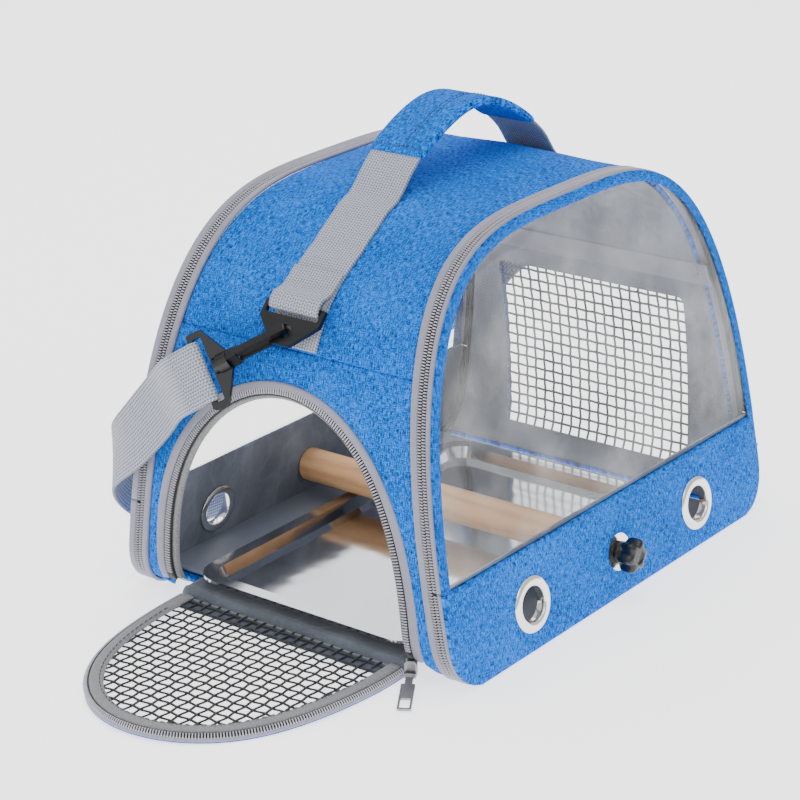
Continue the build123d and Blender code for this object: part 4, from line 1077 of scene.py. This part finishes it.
class MakeShell(Maker, bpy.types.Operator):
    """Padded outer panels of the arch and the lining inside them"""

    bl_idname = "carrier.shell"
    bl_label = "Shell and lining"

    def make(self, sizes):
        for name, maker, node in (
            ("door_end_cloth", lambda d: door_end_sheet(d, 105.4, 165.0), "door_end_panel"),
            ("far_end_cloth", far_end_sheet, "far_end_panel"),
            ("top_cloth", top_sheet, "top_panel"),
        ):
            points, uv = maker(0.0)
            closed = name.startswith("far")
            piece = surface(name, points, uv, close_rows=closed)
            self.outward(piece)
            thicken(piece, 3.4)
            done(piece, "canvas", "carrier", "fabric_blue", node)
        parts = []
        for name, maker, closed in (
            ("a", lambda d: door_end_sheet(d, 95.0, 158.2), False),
            ("b", far_end_sheet, True),
            ("c", top_sheet, False),
        ):
            points, uv = maker(-4.4)
            piece = surface(name, points, uv, close_rows=closed)
            self.outward(piece)
            parts.append(piece)
        lining = joined("cabin_lining", parts)
        thicken(lining, 0.6)
        done(lining, "lining", "carrier", "lining_slate", "lining")
        base_x = np.linspace(-FOOT - 4, FOOT + 4, 60)[:, None]
        base_y = np.linspace(-1, 1, 40)[None]
        drop = np.maximum(abs(base_x) - FOOT, 0) ** 2 * 0.02
        grid = np.stack(np.broadcast_arrays(base_x, base_y * 131.5, 0.15 + drop), -1)
        base = surface("base_cloth", grid, grid[..., :2])
        self.outward(base, down=True)
        thicken(base, 3.4)
        done(base, "canvas", "carrier", "fabric_blue", "base_panel")
        finish("lining").wear(NODES["base_board"])

    @staticmethod
    def outward(piece, down=False):
        """Turn a sheet over if its faces look into the cabin."""
        mesh = piece.data
        centre = np.zeros(len(mesh.polygons) * 3)
        normal = np.zeros(len(mesh.polygons) * 3)
        mesh.polygons.foreach_get("center", centre)
        mesh.polygons.foreach_get("normal", normal)
        away = centre.reshape(-1, 3) - np.array([0, 0, 0.2 if down else 0.1])
        if (away * normal.reshape(-1, 3)).sum() < 0:
            mesh.flip_normals()


class MakeFaces(Maker, bpy.types.Operator):
    """Lower bands, window borders and clear windows on both faces"""

    bl_idname = "carrier.faces"
    bl_label = "Bands and windows"

    def make(self, sizes):
        for word, side in SIDES:
            out = np.array([0, side, 0])
            band = patches(f"{word}_band_cloth", band_sheets(side, 0.2, 13.0, 0.7), out)
            thicken(band, 2.6)
            done(band, "canvas", "carrier", "fabric_blue", f"{word}_band")
            inner = patches(f"{word}_band_inside", band_sheets(side, 3.3, 13.0, -0.9, 5.2, 66.9), out)
            thicken(inner, 0.4)
            done(inner, "lining", "carrier", "lining_slate", f"{word}_band_lining")
            run = spread(*WINDOW)
            inset = np.array([0.1, 0.15, 0.5, 1.5, 3.5, 5.5, 6.6, 7.0])
            swell = np.array([-1.8, -0.6, 0.1, 0.45, 0.55, 0.4, 0.0, -0.6])
            rows = []
            for i, s in zip(inset, swell):
                x, z, _, _ = arch(run, -i)
                rows.append(np.stack([x, side * face_y(z, -s), z], -1))
            grid = np.stack(rows, 1)
            uv = np.stack(np.broadcast_arrays(inset[None], run[:, None]), -1)
            border = surface(f"{word}_window_edging", grid, uv)
            MakeShell.outward(border)
            thicken(border, 2.2)
            done(border, "edging", f"{word}_window", "fabric_blue", f"{word}_window_border")
            self.clear_window(word, side)

    @staticmethod
    def clear_window(word, side):
        """Vinyl hung between the arch and the band, puffed out a little with ripples."""
        run = spread(*WINDOW, 3.0)
        x, z, _, _ = arch(run, -6.2)
        v = np.linspace(0, 1, 46)[None]
        xx = x[:, None] + 0 * v
        zz = z[:, None] + (BAND_TOP + 0.8 - z[:, None]) * v
        edge = np.minimum(z[:, None] - zz, zz - BAND_TOP)
        rim = np.minimum(edge, (172 - abs(xx)) * 0.9)
        swell = 2.2 * (1 - np.exp(-np.maximum(rim, 0) / 26.0))
        swell = swell + (
            0.7 * np.sin(xx / 41.0 + zz / 60.0) * np.sin(zz / 37.0 + 0.6)
            * np.clip(rim / 30, 0, 1)
        )
        grid = face_patch(side, 1.2 - swell, xx, zz)
        grid[..., 0], grid[..., 2] = xx, zz
        sheet = surface(f"{word}_vinyl", grid, np.stack([xx, zz], -1))
        MakeShell.outward(sheet)
        thicken(sheet, 0.5)
        done(sheet, "vinyl", f"{word}_window", "clear_sheet", f"{word}_clear_window")


class MakeZips(Maker, bpy.types.Operator):
    """Zips round both faces: tapes, piping, teeth and the near-black strips of painted shade under them"""

    bl_idname = "carrier.zips"
    bl_label = "Window zips"

    def make(self, sizes):
        outer = {
            -1: [(1.2, -1.3), (2.4, -0.9), (3.0, 0.1), (3.6, 0.45), (4.6, 0.4), (5.2, 0.15), (5.4, -0.5)],
            1: [(0.2, -1.0), (0.5, 0.15), (1.2, 0.5), (3.0, 0.55), (4.6, 0.4), (5.2, 0.15), (5.4, -0.5)],
        }
        # Under the teeth lie near-black strips: painted shade for the gaps between the teeth.
        outer_gap_shade = [(5.2, -0.35), (6.5, -0.25), (8.3, -0.3)]
        inner_gap_shade = [(8.7, -0.3), (10.4, -0.25), (11.8, -0.35)]
        inner = [
            (11.5, -0.5), (11.7, 0.15), (12.4, 0.4), (13.5, 0.5), (14.8, 0.75), (15.8, 0.7), (16.4, 0.2),
            (16.8, -1.2),
        ]
        for word, side in SIDES:
            near = spread(EXTENT[0], WINDOW[0] - 0.6)
            far = spread(WINDOW[1] + 0.6, EXTENT[1])
            over = spread(*WINDOW)
            whole = spread(*EXTENT)
            self.strip(
                f"{word}_window_tape", side, [over], outer[side], "tape",
                f"{word}_window", f"{word}_window_zip",
            )
            self.strip(f"{word}_window_chain_bed", side, [over], outer_gap_shade, "dark_tape", f"{word}_window")
            self.strip(
                f"{word}_band_tape", side, [near, far], outer[side], "tape",
                "carrier", f"{word}_band_zip",
            )
            self.strip(f"{word}_band_chain_bed", side, [near, far], outer_gap_shade, "dark_tape", "carrier")
            self.strip(
                f"{word}_gusset_tape", side, [whole], inner, "tape", "carrier",
                f"{word}_body_zip", f"{word}_piping",
            )
            self.strip(f"{word}_gusset_chain_bed", side, [whole], inner_gap_shade, "dark_tape", "carrier")
            across = np.array([0.0, side, 0.0])
            for label, body, runs, low, high, shift in (
                ("window_teeth", f"{word}_window", [over], 0.35, 2.75, 0.0),
                ("band_teeth", "carrier", [near, far], 0.35, 2.75, 0.0),
                ("gusset_teeth", "carrier", [whole], -2.75, -0.35, 0.5),
            ):
                parts = []
                for i, run in enumerate(runs):
                    path = hoop(side, run, 8.5, -0.3)
                    _, _, nx, nz = arch(run)
                    up = np.stack([nx, 0 * nx, nz], -1)
                    widths = np.broadcast_to(across, path.shape)
                    parts.append(teeth(f"{i}", path, widths, up, [(low, high, shift)]))
                piece = joined(f"{word}_{label}", parts) if len(parts) > 1 else parts[0]
                piece.name = f"{word}_{label}"
                done(piece, "teeth", body, "zip_tape")

    @staticmethod
    def strip(name, side, runs, profile, look, body, *nodes):
        parts = []
        for i, run in enumerate(runs):
            points, uv = hoop_strip(side, run, profile)
            part = surface(f"part{i}", points, uv)
            MakeShell.outward(part)
            parts.append(part)
        piece = joined(name, parts) if len(parts) > 1 else parts[0]
        piece.name = name
        thicken(piece, 0.8)
        done(piece, look, body, "zip_tape", *nodes)


class MakeFittings(Maker, bpy.types.Operator):
    """Eyelets, perch, its washers and clamping knobs"""

    bl_idname = "carrier.fittings"
    bl_label = "Eyelets and perch"

    def make(self, sizes):
        for word, side in SIDES:
            axis = (0, side * LEAN_COS, LEAN_SIN)
            ring = [
                (11.3, 0.5), (11.7, 1.15), (12.6, 1.6), (14.0, 1.75), (15.6, 1.6), (17.0, 1.15),
                (17.8, 0.6), (18.0, 0.15), (17.6, 0.0), (13.0, 0.05), (12.45, -0.6), (12.4, -4.6),
                (16.3, -4.7), (16.4, -5.1), (15.9, -5.4), (12.4, -5.5), (11.5, -5.3), (11.3, -4.8),
            ]
            turned = [((x, side * face_y(29.5, 0), 29.5), axis, ring) for x in (-92.7, 92.7)]
            done(lathe(f"{word}_grommets", turned), "nickel", "carrier", "nickel", f"{word}_eyelets")
            self.knob(word, side)
            finish("nickel").wear(NODES[f"{word}_perch_washer"])
        finish("wood").wear(NODES["perch"])

    @staticmethod
    def knob(word, side):
        """Star knob: radius swells with cos 6a at mid height and rounds off to a dome."""
        lo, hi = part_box(f"{word}_perch_knob")
        outer = (lo if side < 0 else hi)[1] * 1000
        a = np.linspace(0, 2 * np.pi, 144, endpoint=False)[:, None]
        h = np.array([0, 0.2, 1.0, 3.0, 6.0, 9.0, 10.8, 11.7, 12.0, 12.0, 11.6, 11.6])[None]
        r = np.array([0.5, 8.0, 9.0, 9.4, 9.6, 9.5, 8.9, 7.8, 6.0, 4.6, 4.4, 0.01])[None]
        lobe = np.array([0, 0.5, 0.9, 1, 1, 1, 0.95, 0.75, 0.3, 0, 0, 0])[None]
        radius = r * (1 + 0.17 * lobe * np.cos(6 * a))
        y = outer - side * (12.0 - h)
        grid = np.stack(np.broadcast_arrays(radius * np.cos(a), y, 29.5 + radius * np.sin(a)), -1)
        uv = np.stack(np.broadcast_arrays(a * 10, h), -1)
        star = surface("star", grid, uv, close_rows=True)
        stem_h = np.array([0.0, -3.0, -3.1, 0.0])
        stem_r = np.array([7.4, 7.2, 0.01, 0.01])
        grid = np.stack(np.broadcast_arrays(
            stem_r[None] * np.cos(a), outer - side * (12.0 - stem_h[None]), 29.5 + stem_r[None] * np.sin(a)
        ), -1)
        stem = surface("stem", grid, np.stack(np.broadcast_arrays(a, stem_h[None]), -1), close_rows=True)
        piece = joined(f"{word}_star_knob", [star, stem])
        weld(piece)
        face_out(piece)
        done(piece, "plastic", f"{word}_knob", "black_plastic", f"{word}_perch_knob")


class MakeDoorway(Maker, bpy.types.Operator):
    """Doorway edge on the end wall: seam tape, chain, felt binding and sill"""

    bl_idname = "carrier.doorway"
    bl_label = "Doorway"

    def make(self, sizes):
        tape = [(0.48, -0.3), (0.51, 0.3), (0.62, 0.5), (0.8, 0.65), (0.94, 0.6), (1.0, 0.15), (1.05, -0.9)]
        # near-black strip under the doorway's teeth: painted shade for the gaps between them
        bed = [(-0.03, -0.9), (0.0, -0.2), (0.2, -0.05), (0.5, -0.2)]
        for name, profile, look, nodes in (
            ("doorway_tape", tape, "tape", ["doorway_zip"]),
            ("doorway_chain_bed", bed, "dark_tape", []),
        ):
            points, uv = doorway_strip(profile)
            piece = surface(name, points, uv)
            MakeShell.outward(piece)
            thicken(piece, 0.8)
            done(piece, look, "carrier", "zip_tape", *nodes)
        a = np.linspace(0.05, np.pi - 0.05, 400)
        y, z = doorway_outline(a, 94.2, 157.7)
        path = on_end_wall(y, z, 0.0)
        _, _, nx, nz = arch(run_at(z))
        up = np.stack([nx, 0 * nx, nz], -1)
        out = unit(np.cross(along(path), up))
        if out[0] @ np.array([0, 1.0, 0]) < 0:
            out = -out
        chain = teeth("doorway_teeth", path, out, up, [(0.6, 4.6, 0.5)])
        done(chain, "teeth", "carrier", "zip_tape")
        binding = [
            (0.06, -1.6), (-0.06, -1.8), (-0.18, -2.3), (-0.25, -3.4),
            (-0.26, -4.8), (-0.20, -5.7), (-0.08, -6.1),
            (0.12, -6.1),
        ]
        points, uv = doorway_strip(binding)
        piece = surface("doorway_felt", points, uv)
        self.inward(piece)
        thicken(piece, 0.7)
        done(piece, "felt", "carrier", "felt_grey", "doorway_binding")
        x = np.array([
            -165.2, -165.0, -164.2, -163.2, -162.2, -161.2,
            -160.0, -157.4, -150.0, -141.0, -139.6,
        ])
        z = np.array([2.2, 4.0, 5.8, 6.9, 7.5, 7.4, 6.9, 6.9, 7.2, 7.2, 6.2])
        y = np.linspace(-92.5, 92.5, 60)
        lift = 0.25 * np.sin(y / 9.0)[None] * np.sin(np.linspace(0, np.pi, len(x)))[:, None]
        grid = np.stack(np.broadcast_arrays(x[:, None], y[None], z[:, None] + lift), -1)
        uv = np.stack(np.broadcast_arrays(x[:, None], y[None]), -1)
        sill = surface("door_sill", grid, uv)
        MakeShell.outward(sill, down=True)
        thicken(sill, 1.2)
        done(sill, "sill", "carrier", "sill_tape", "door_threshold")

    @staticmethod
    def inward(piece):
        """Turn a doorway strip so that its faces look out of the wall's cut edge."""
        mesh = piece.data
        normal = np.zeros(len(mesh.polygons) * 3)
        centre = np.zeros(len(mesh.polygons) * 3)
        mesh.polygons.foreach_get("normal", normal)
        mesh.polygons.foreach_get("center", centre)
        to_middle = np.array([0, 0, 0.07]) - centre.reshape(-1, 3)
        to_middle[:, 0] = 0
        if (to_middle * normal.reshape(-1, 3)).sum() < 0:
            mesh.flip_normals()


class MakeDoor(Maker, bpy.types.Operator):
    """Mesh door lying open on the floor, with its edging, zip and felt binding"""

    bl_idname = "carrier.door"
    bl_label = "Mesh door"

    def make(self, sizes):
        strips = (
            ("door_edge_tape", [(0.0, 1.5), (-0.15, 2.6), (0.0, 3.9), (0.3, 4.3)], "tape", ["door_zip"]),
            # near-black strip under the door's teeth: painted shade for the gaps between them
            ("door_chain_bed", [(0.1, 3.9), (0.5, 5.0), (1.5, 6.0), (3.2, 6.2)], "dark_tape", []),
            ("door_edging", [(0.9, 1.6), (0.2, 1.3), (0.0, 0.9), (0.6, 0.6), (4.0, 0.6), (4.6, 1.2)],
             "edging", ["door_trim"]),
            ("door_felt",
             [(3.0, 5.9), (3.4, 6.9), (4.6, 7.2), (9.6, 7.1), (11.2, 6.7), (11.8, 5.6), (11.0, 5.0)],
             "felt", ["door_binding"]),
        )
        for name, profile, look, nodes in strips:
            points, uv = door_strip(profile)
            piece = surface(name, points, uv)
            face_out(piece)
            self.upward(piece, name)
            thicken(piece, 0.6)
            slot = {
                "tape": "zip_tape", "dark_tape": "zip_tape",
                "edging": "fabric_blue", "felt": "felt_grey",
            }[look]
            done(piece, look, "end_door", slot, *nodes)
        low = math.asin((4.0 / 151.0) ** 1.3)
        a = np.linspace(low, np.pi - low, 500)
        y, v = door_outline(a, 1.0)
        path = door_point(y, v, 5.2 + door_sag(y, v))
        rise = np.broadcast_to(np.array([0, 0, 1.0]), path.shape)
        out = unit(np.cross(along(path), rise))
        if out[len(out) // 2, 0] > 0:
            out = -out
        chain = teeth("door_teeth", path, unit(rise - out), unit(rise + out), [(-1.6, 1.7, 0.0)])
        done(chain, "teeth", "end_door", "zip_tape")
        y, v = door_outline(np.linspace(low + 0.1, np.pi - low - 0.1, 400), 9.6)
        seam_line = door_point(y, v, 7.6 + door_sag(y, v))
        seam = stitches("door_felt_stitching", seam_line, rise[:400], 3.0, 2.0, 0.3)
        done(seam, "grey_thread", "end_door", "felt_grey")
        self.mesh_cords()
        v = np.array([2.2, 3.0, 5.0, 8.0, 11.0, 14.0, 15.6, 16.0])
        z = np.array([3.2, 3.9, 4.4, 4.5, 4.5, 4.5, 4.3, 3.9])
        y = np.linspace(-1, 1, 70)
        half = 91.5 - 9.0
        grid = np.stack(np.broadcast_arrays(
            HINGE_X - v[:, None], half * y[None], z[:, None] + 0.2 * np.sin(half * y[None] / 7.0)
        ), -1)
        hem = surface("door_hem_cloth", grid, np.stack(np.broadcast_arrays(v[:, None], half * y[None]), -1))
        self.upward(hem, "hem")
        thicken(hem, 1.0)
        done(hem, "hem", "end_door", "fabric_blue", "door_hem")

    @staticmethod
    def upward(piece, name):
        """Face a door strip up, or down for the edging under it."""
        mesh = piece.data
        normal = np.zeros(len(mesh.polygons) * 3)
        mesh.polygons.foreach_get("normal", normal)
        rises = normal.reshape(-1, 3)[:, 2].sum()
        if (rises < 0) != (name == "door_edging"):
            mesh.flip_normals()

    @staticmethod
    def mesh_cords():
        """Square net inside the binding: cords both ways, each waving over and under."""
        pitch, lines = 7.7, []
        height, inset = 5.0, 10.0
        columns = (np.arange(22) - 10.5) * pitch
        a = np.linspace(0, np.pi, 2001)
        oy, ov = door_outline(a, inset)
        for k, y0 in enumerate(columns):
            top = np.interp(abs(y0), oy[:1001][::-1], ov[:1001][::-1])
            v = np.arange(3.0, top, 1.3)
            wave = 0.35 * np.cos(np.pi * (v / pitch + k))
            wander = np.full(len(v), y0) + 0.15 * np.sin(v / 9 + k)
            path = door_point(wander, v, height + wave + door_sag(y0, v))
            sideways = np.broadcast_to([0, 1.0, 0], path.shape)
            lines.append((path, sideways, np.broadcast_to([0, 0, 1.0], path.shape)))
        for k in range(1, 19):
            v0 = k * pitch + 0.0
            half = np.interp(v0, ov[:1001], oy[:1001])
            if v0 > ov.max() - 1:
                continue
            y = np.arange(-half, half, 1.3)
            wave = -0.35 * np.cos(np.pi * (y / pitch + 0.5 + k))
            wander = np.full(len(y), v0) + 0.15 * np.sin(y / 9 + k)
            path = door_point(y, wander, height + wave + door_sag(y, v0))
            sideways = np.broadcast_to([1.0, 0, 0], path.shape)
            lines.append((path, sideways, np.broadcast_to([0, 0, 1.0], path.shape)))
        net = cords("door_net", lines, 2.0, 1.0)
        done(net, "mesh", "end_door", "mesh_cord", "door_mesh")


class MakeVent(Maker, bpy.types.Operator):
    """Mesh window in the far end wall, with the seam tapes inside"""

    bl_idname = "carrier.vent"
    bl_label = "Far mesh window"

    def make(self, sizes):
        pitch, lines = 7.7, []
        for k in range(-10, 11):
            z = np.arange(13.0, 148.0, 1.5)
            y = np.full(len(z), k * pitch)
            path = on_end_wall(y, z, -2.0 + 0.35 * np.cos(np.pi * (z / pitch + k)), 1)
            _, _, nx, nz = arch(run_at(z, True))
            up = np.stack([nx, 0 * nx, nz], -1)
            lines.append((path, np.broadcast_to([0, 1.0, 0], path.shape), up))
        for k in range(2, 20):
            z0 = k * pitch
            if not 14 < z0 < 147:
                continue
            y = np.arange(-81.0, 81.0, 1.5)
            z = np.full(len(y), z0)
            path = on_end_wall(y, z, -2.0 - 0.35 * np.cos(np.pi * (y / pitch + k)), 1)
            x0, _, nx, nz = arch(run_at(z, True))
            up = np.stack([nx, 0 * nx, nz], -1)
            lines.append((path, unit(np.stack([-nz, 0 * nx, nx], -1)), up))
        net = cords("vent_net", lines, 1.9, 0.9)
        done(net, "vent", "carrier", "mesh_cord", "vent_mesh")
        for name, z, sign in (("far_seam_tape", FAR_SEAM, 1), ("near_seam_tape", NEAR_SEAM, -1)):
            low, high = z - 8.0, z + 8.0
            zz = np.linspace(low, high, 12)[:, None]
            y = np.linspace(-1, 1, 60)[None]
            edge = face_y(zz, 9.5)
            bulge = 1.0 * np.sin(np.pi * (zz - low) / (high - low))
            points = on_end_wall(y * edge, zz + 0 * y, -5.2 - bulge, sign)
            tape = surface(name, points, np.stack(np.broadcast_arrays(zz, y * edge), -1))
            MakeShell.outward(tape)
            thicken(tape, 0.5)
            done(tape, "tape", "carrier", "zip_tape")


class MakeTray(Maker, bpy.types.Operator):
    """Steel tray on the stiff board"""

    bl_idname = "carrier.tray"
    bl_label = "Tray"

    def make(self, sizes):
        finish("steel").wear(NODES["tray"])


NEAR_FOOT_X, FAR_FOOT_X = -72.0, 96.0


def handle_path(count=420):
    """Handle's centre line: stitched down from each seam to a foot, free between."""
    near = spread(run_at(NEAR_SEAM + 1.5), run_over(NEAR_FOOT_X), 7.0)
    far = spread(run_over(FAR_FOOT_X), run_at(FAR_SEAM + 1.5, True), 7.0)
    stitched = []
    for run in (near, far):
        x, z, nx, nz = arch(run)
        lift = sway(x) + 1.2
        stitched.append(np.stack([x + nx * lift, 0 * x, z + nz * lift], -1))
    free = np.array([(-60.0, 0, 270.5), (-48.0, 0, 281.0), (-18, 0, 297.0), (12, 0, 303.0), (42, 0, 295.0),
                     (69, 0, 278.5), (84, 0, 265.0)])
    return smooth_path(np.concatenate([stitched[0], free, stitched[1]]), count)


class MakeHandle(Maker, bpy.types.Operator):
    """Carrying handle: webbing over the crown with a padded sleeve"""

    bl_idname = "carrier.handle"
    bl_label = "Handle"

    def make(self, sizes):
        path = handle_path()
        t = along(path)
        across = np.broadcast_to([0, 1.0, 0], path.shape)
        up = unit(np.cross(t, across))
        grid, uv = ribbon(path, across, up, 19.0, 0.95)
        done(closed_tube("handle_strap", grid, uv), "webbing", "carrier", "zip_tape", "handle_webbing")
        inside = (path[:, 0] > -48.5) & (path[:, 0] < 69.5) & (path[:, 2] > 262)
        core = smooth_path(path[inside][::4], 110)
        t = along(core)
        up = unit(np.cross(t, np.broadcast_to([0, 1.0, 0], core.shape)))
        s = np.linspace(0, 1, len(core))
        fat = np.clip(np.minimum(s, 1 - s) / 0.06, 0, 1) ** 0.5
        grid, uv = ribbon(core, np.broadcast_to([0, 1.0, 0], core.shape), up, 20.6, 2.9, 2.4)
        middle = core[:, None]
        squeeze = (0.55 + 0.45 * fat)[:, None, None]
        offset = grid - middle
        rise = (offset * up[:, None]).sum(-1, keepdims=True) * up[:, None]
        grid = middle + (offset - rise) + rise * squeeze
        sleeve = closed_tube("handle_sleeve_cloth", grid, uv)
        done(sleeve, "canvas", "carrier", "fabric_blue", "handle_sleeve")
        seams = []
        for low, high, side in ((4, 62, -6.5), (4, 62, -3.5), (66, 106, -5.0)):
            seam_line = core[low:high] + up[low:high] * 2.95 + [0, side, 0]
            seams.append(stitches("seam", seam_line, up[low:high], 2.2, 1.2))
        for i in (4, 105):
            y = np.linspace(-18.5, 18.5, 40)
            line = core[i] + up[i] * 2.75 + y[:, None] * [0, 1.0, 0]
            seams.append(stitches("seam", line, np.broadcast_to(up[i], line.shape), 2.2, 1.2))
        done(joined("sleeve_stitching", seams), "thread", "carrier", "fabric_blue")


STRAP_NEAR = [
    ((-177.0, 86.0, 143.0), (0.1, 0.5, 0.85)),
    ((-178.0, 117.0, 109.4), (0.19, 0.6, 0.71)),
    ((-164.0, 147.0, 82.2), (0.5, 0.37, 0.75)),
    ((-130.0, 154.0, 48.0), (0.45, 0.0, 0.86)),
    ((-75.0, 156.5, 25.0), (0.12, 0.0, 1.0)),
    ((-24.0, 157.0, 22.8), (0.0, 0.0, 1.0)),
]
RING_TURN = math.radians(25)


def hook_frame():
    """Hook hole, hook direction and loop plate normal, as the solids have them."""
    joints = {j["name"]: j for j in frame["joints"]}
    hole = np.array(joints["near_hook_swing"]["pos_m"]) * 1000
    plate = -np.array(joints["near_hook_swing"]["axis"])
    run = np.array(joints["near_ring_swivel"]["axis"])
    return hole, run, plate


class MakeStraps(Maker, bpy.types.Operator):
    """Shoulder strap, its loops, snap hooks, rings and keepers"""

    bl_idname = "carrier.straps"
    bl_label = "Shoulder strap"

    def make(self, sizes):
        hole, run, plate = hook_frame()
        width = np.cross(run, plate)
        width, face = (
            width * math.cos(RING_TURN) + plate * math.sin(RING_TURN),
            plate * math.cos(RING_TURN) - width * math.sin(RING_TURN),
        )
        bar = hole + run * 58.8
        bend = np.radians(np.linspace(-90, 90, 9))
        fold = [bar + run * 15 + face * 1.3, bar + run * 9 + face * 1.6]
        fold += [bar - run * 2.7 * math.cos(a) - face * 2.7 * math.sin(a) for a in bend]
        fold += [bar + run * 12 - face * 1.3]
        stations = [(tuple(p), tuple(width)) for p in fold] + STRAP_NEAR
        stations.append(((0.0, 157.0, 22.8), (0.0, 0.0, 1.0)))
        mirrored = [((-p[0], p[1], p[2]), (-w[0], w[1], w[2])) for p, w in stations[:-1][::-1]]
        both = stations + mirrored
        centre = np.array([p for p, _ in both])
        width = unit(np.array([w if p[0] <= 0 else (-w[0], -w[1], -w[2]) for p, w in both]))
        width[centre[:, 0] > 0] *= -1
        path = smooth_path(centre, 640)
        seg = np.concatenate([[0], np.cumsum(np.linalg.norm(np.diff(centre, axis=0), axis=1))])
        reach = np.concatenate([[0], np.cumsum(np.linalg.norm(np.diff(path, axis=0), axis=1))])
        s = reach / reach[-1] * seg[-1]
        across = unit(np.stack([np.interp(s, seg, width[:, k]) for k in range(3)], -1))
        t = along(path)
        across = unit(across - (across * t).sum(-1, keepdims=True) * t)
        up = np.cross(t, across)
        grid, uv = ribbon(path, across, up, 19.0, 1.0)
        strap = closed_tube("shoulder_webbing", grid, uv)
        done(strap, "webbing", "carrier", "zip_tape", "shoulder_strap")
        for word in ("near", "far"):
            for part, look in (
                ("loop", "plastic"), ("hook", "plastic"),
                ("hook_gate", "plastic"), ("strap_ring", "plastic"),
            ):
                finish(look).wear(NODES[f"{word}_{part}"])
        self.keepers()
        finish("plastic").wear(NODES["strap_adjuster"])

    @staticmethod
    def keepers():
        """Webbing folded round each loop's bar and sewn back on itself."""
        joints = {j["name"]: j for j in frame["joints"]}
        bar = np.array(joints["near_loop_swing"]["pos_m"]) * 1000
        _, _, nx, nz = arch(run_at(207.0))
        n = np.array([nx, 0, nz])
        up_slope = np.array([abs(nz), 0, abs(nx)])
        centre = np.array([bar[0], 0, bar[2]])
        a = np.radians(np.linspace(90, -90, 15))
        bend = centre - np.cos(a)[:, None] * up_slope * 2.6 + np.sin(a)[:, None] * n * 2.6
        line = handle_path(900)
        reach = np.concatenate([[0], np.cumsum(np.linalg.norm(np.diff(line, axis=0), axis=1))])
        start = reach[np.argmin(np.linalg.norm(line - centre, axis=1))]
        off = np.cross(along(line), [0, 1.0, 0])

        def on_webbing(step, lift):
            return np.array([np.interp(start + step, reach, (line + off * lift)[:, k]) for k in range(3)])

        top = [on_webbing(d, h) for d, h in ((27, 1.85), (22, 1.85), (17, 2.1), (12, 3.2))]
        top.append(centre + up_slope * 5 + n * 2.5)
        under = [centre - n * 2.6 + up_slope * 3, on_webbing(9, 1.9)]
        path = smooth_path(np.concatenate([top, bend, under]), 90)
        for word, sign in (("near", 1), ("far", -1)):
            p = path * np.array([sign, 1, 1])
            across = np.broadcast_to([0, 1.0, 0], p.shape)
            up = np.cross(along(p), across)
            grid, uv = ribbon(p, across, up, 19.0, 0.85)
            keeper = closed_tube(f"{word}_keeper_fold", grid, uv)
            done(keeper, "webbing", "carrier", "zip_tape", f"{word}_loop_keeper")


class MakePulls(Maker, bpy.types.Operator):
    """Zip sliders and their pull tabs"""

    bl_idname = "carrier.pulls"
    bl_label = "Zip pulls"

    def make(self, sizes):
        for word in ("door_slider", "front_zip_slider", "back_zip_slider"):
            finish("gunmetal").wear(NODES[word])
        for word in ("door_pull", "front_zip_pull", "back_zip_pull"):
            finish("gunmetal").wear(NODES[word])


class CarrierSizes(bpy.types.PropertyGroup):
    canvas: FloatVectorProperty(
        name="Canvas", description="Colour of the outer cloth", subtype="COLOR", size=3,
        min=0, max=1, default=(0.0, 0.16, 0.78),
    )
    webbing: FloatVectorProperty(
        name="Webbing", description="Colour of the straps", subtype="COLOR", size=3,
        min=0, max=1, default=(0.33, 0.355, 0.42),
    )
    tape: FloatVectorProperty(
        name="Zip tape", description="Colour of the zip tapes and piping", subtype="COLOR", size=3,
        min=0, max=1, default=(0.27, 0.265, 0.33),
    )
    lining: FloatVectorProperty(
        name="Lining", description="Colour of the lining", subtype="COLOR", size=3,
        min=0, max=1, default=(0.165, 0.188, 0.24),
    )
    wood: FloatVectorProperty(
        name="Perch", description="Colour of the perch's wood", subtype="COLOR", size=3,
        min=0, max=1, default=(0.96, 0.53, 0.26),
    )


MAKERS = (
    MakeStage, MakeShell, MakeFaces, MakeZips, MakeFittings, MakeDoorway, MakeDoor, MakeVent,
    MakeTray, MakeHandle, MakeStraps, MakePulls,
)


class CarrierPanel(bpy.types.Panel):
    bl_label = "Bird travel carrier"
    bl_idname = "VIEW3D_PT_carrier"
    bl_space_type = "VIEW_3D"
    bl_region_type = "UI"
    bl_category = "Carrier"

    def draw(self, context):
        for name in ("canvas", "webbing", "tape", "lining", "wood"):
            self.layout.prop(context.scene.carrier, name)
        for maker in MAKERS:
            self.layout.operator(maker.bl_idname)


CLASSES = (CarrierSizes, *MAKERS, CarrierPanel)


def register():
    for made in CLASSES:
        bpy.utils.register_class(made)
    bpy.types.Scene.carrier = PointerProperty(type=CarrierSizes)


def unregister():
    del bpy.types.Scene.carrier
    for made in reversed(CLASSES):
        bpy.utils.unregister_class(made)


def main():
    register()
    for maker in MAKERS:
        group, name = maker.bl_idname.split(".")
        getattr(getattr(bpy.ops, group), name)()


if __name__ == "__main__":
    main()
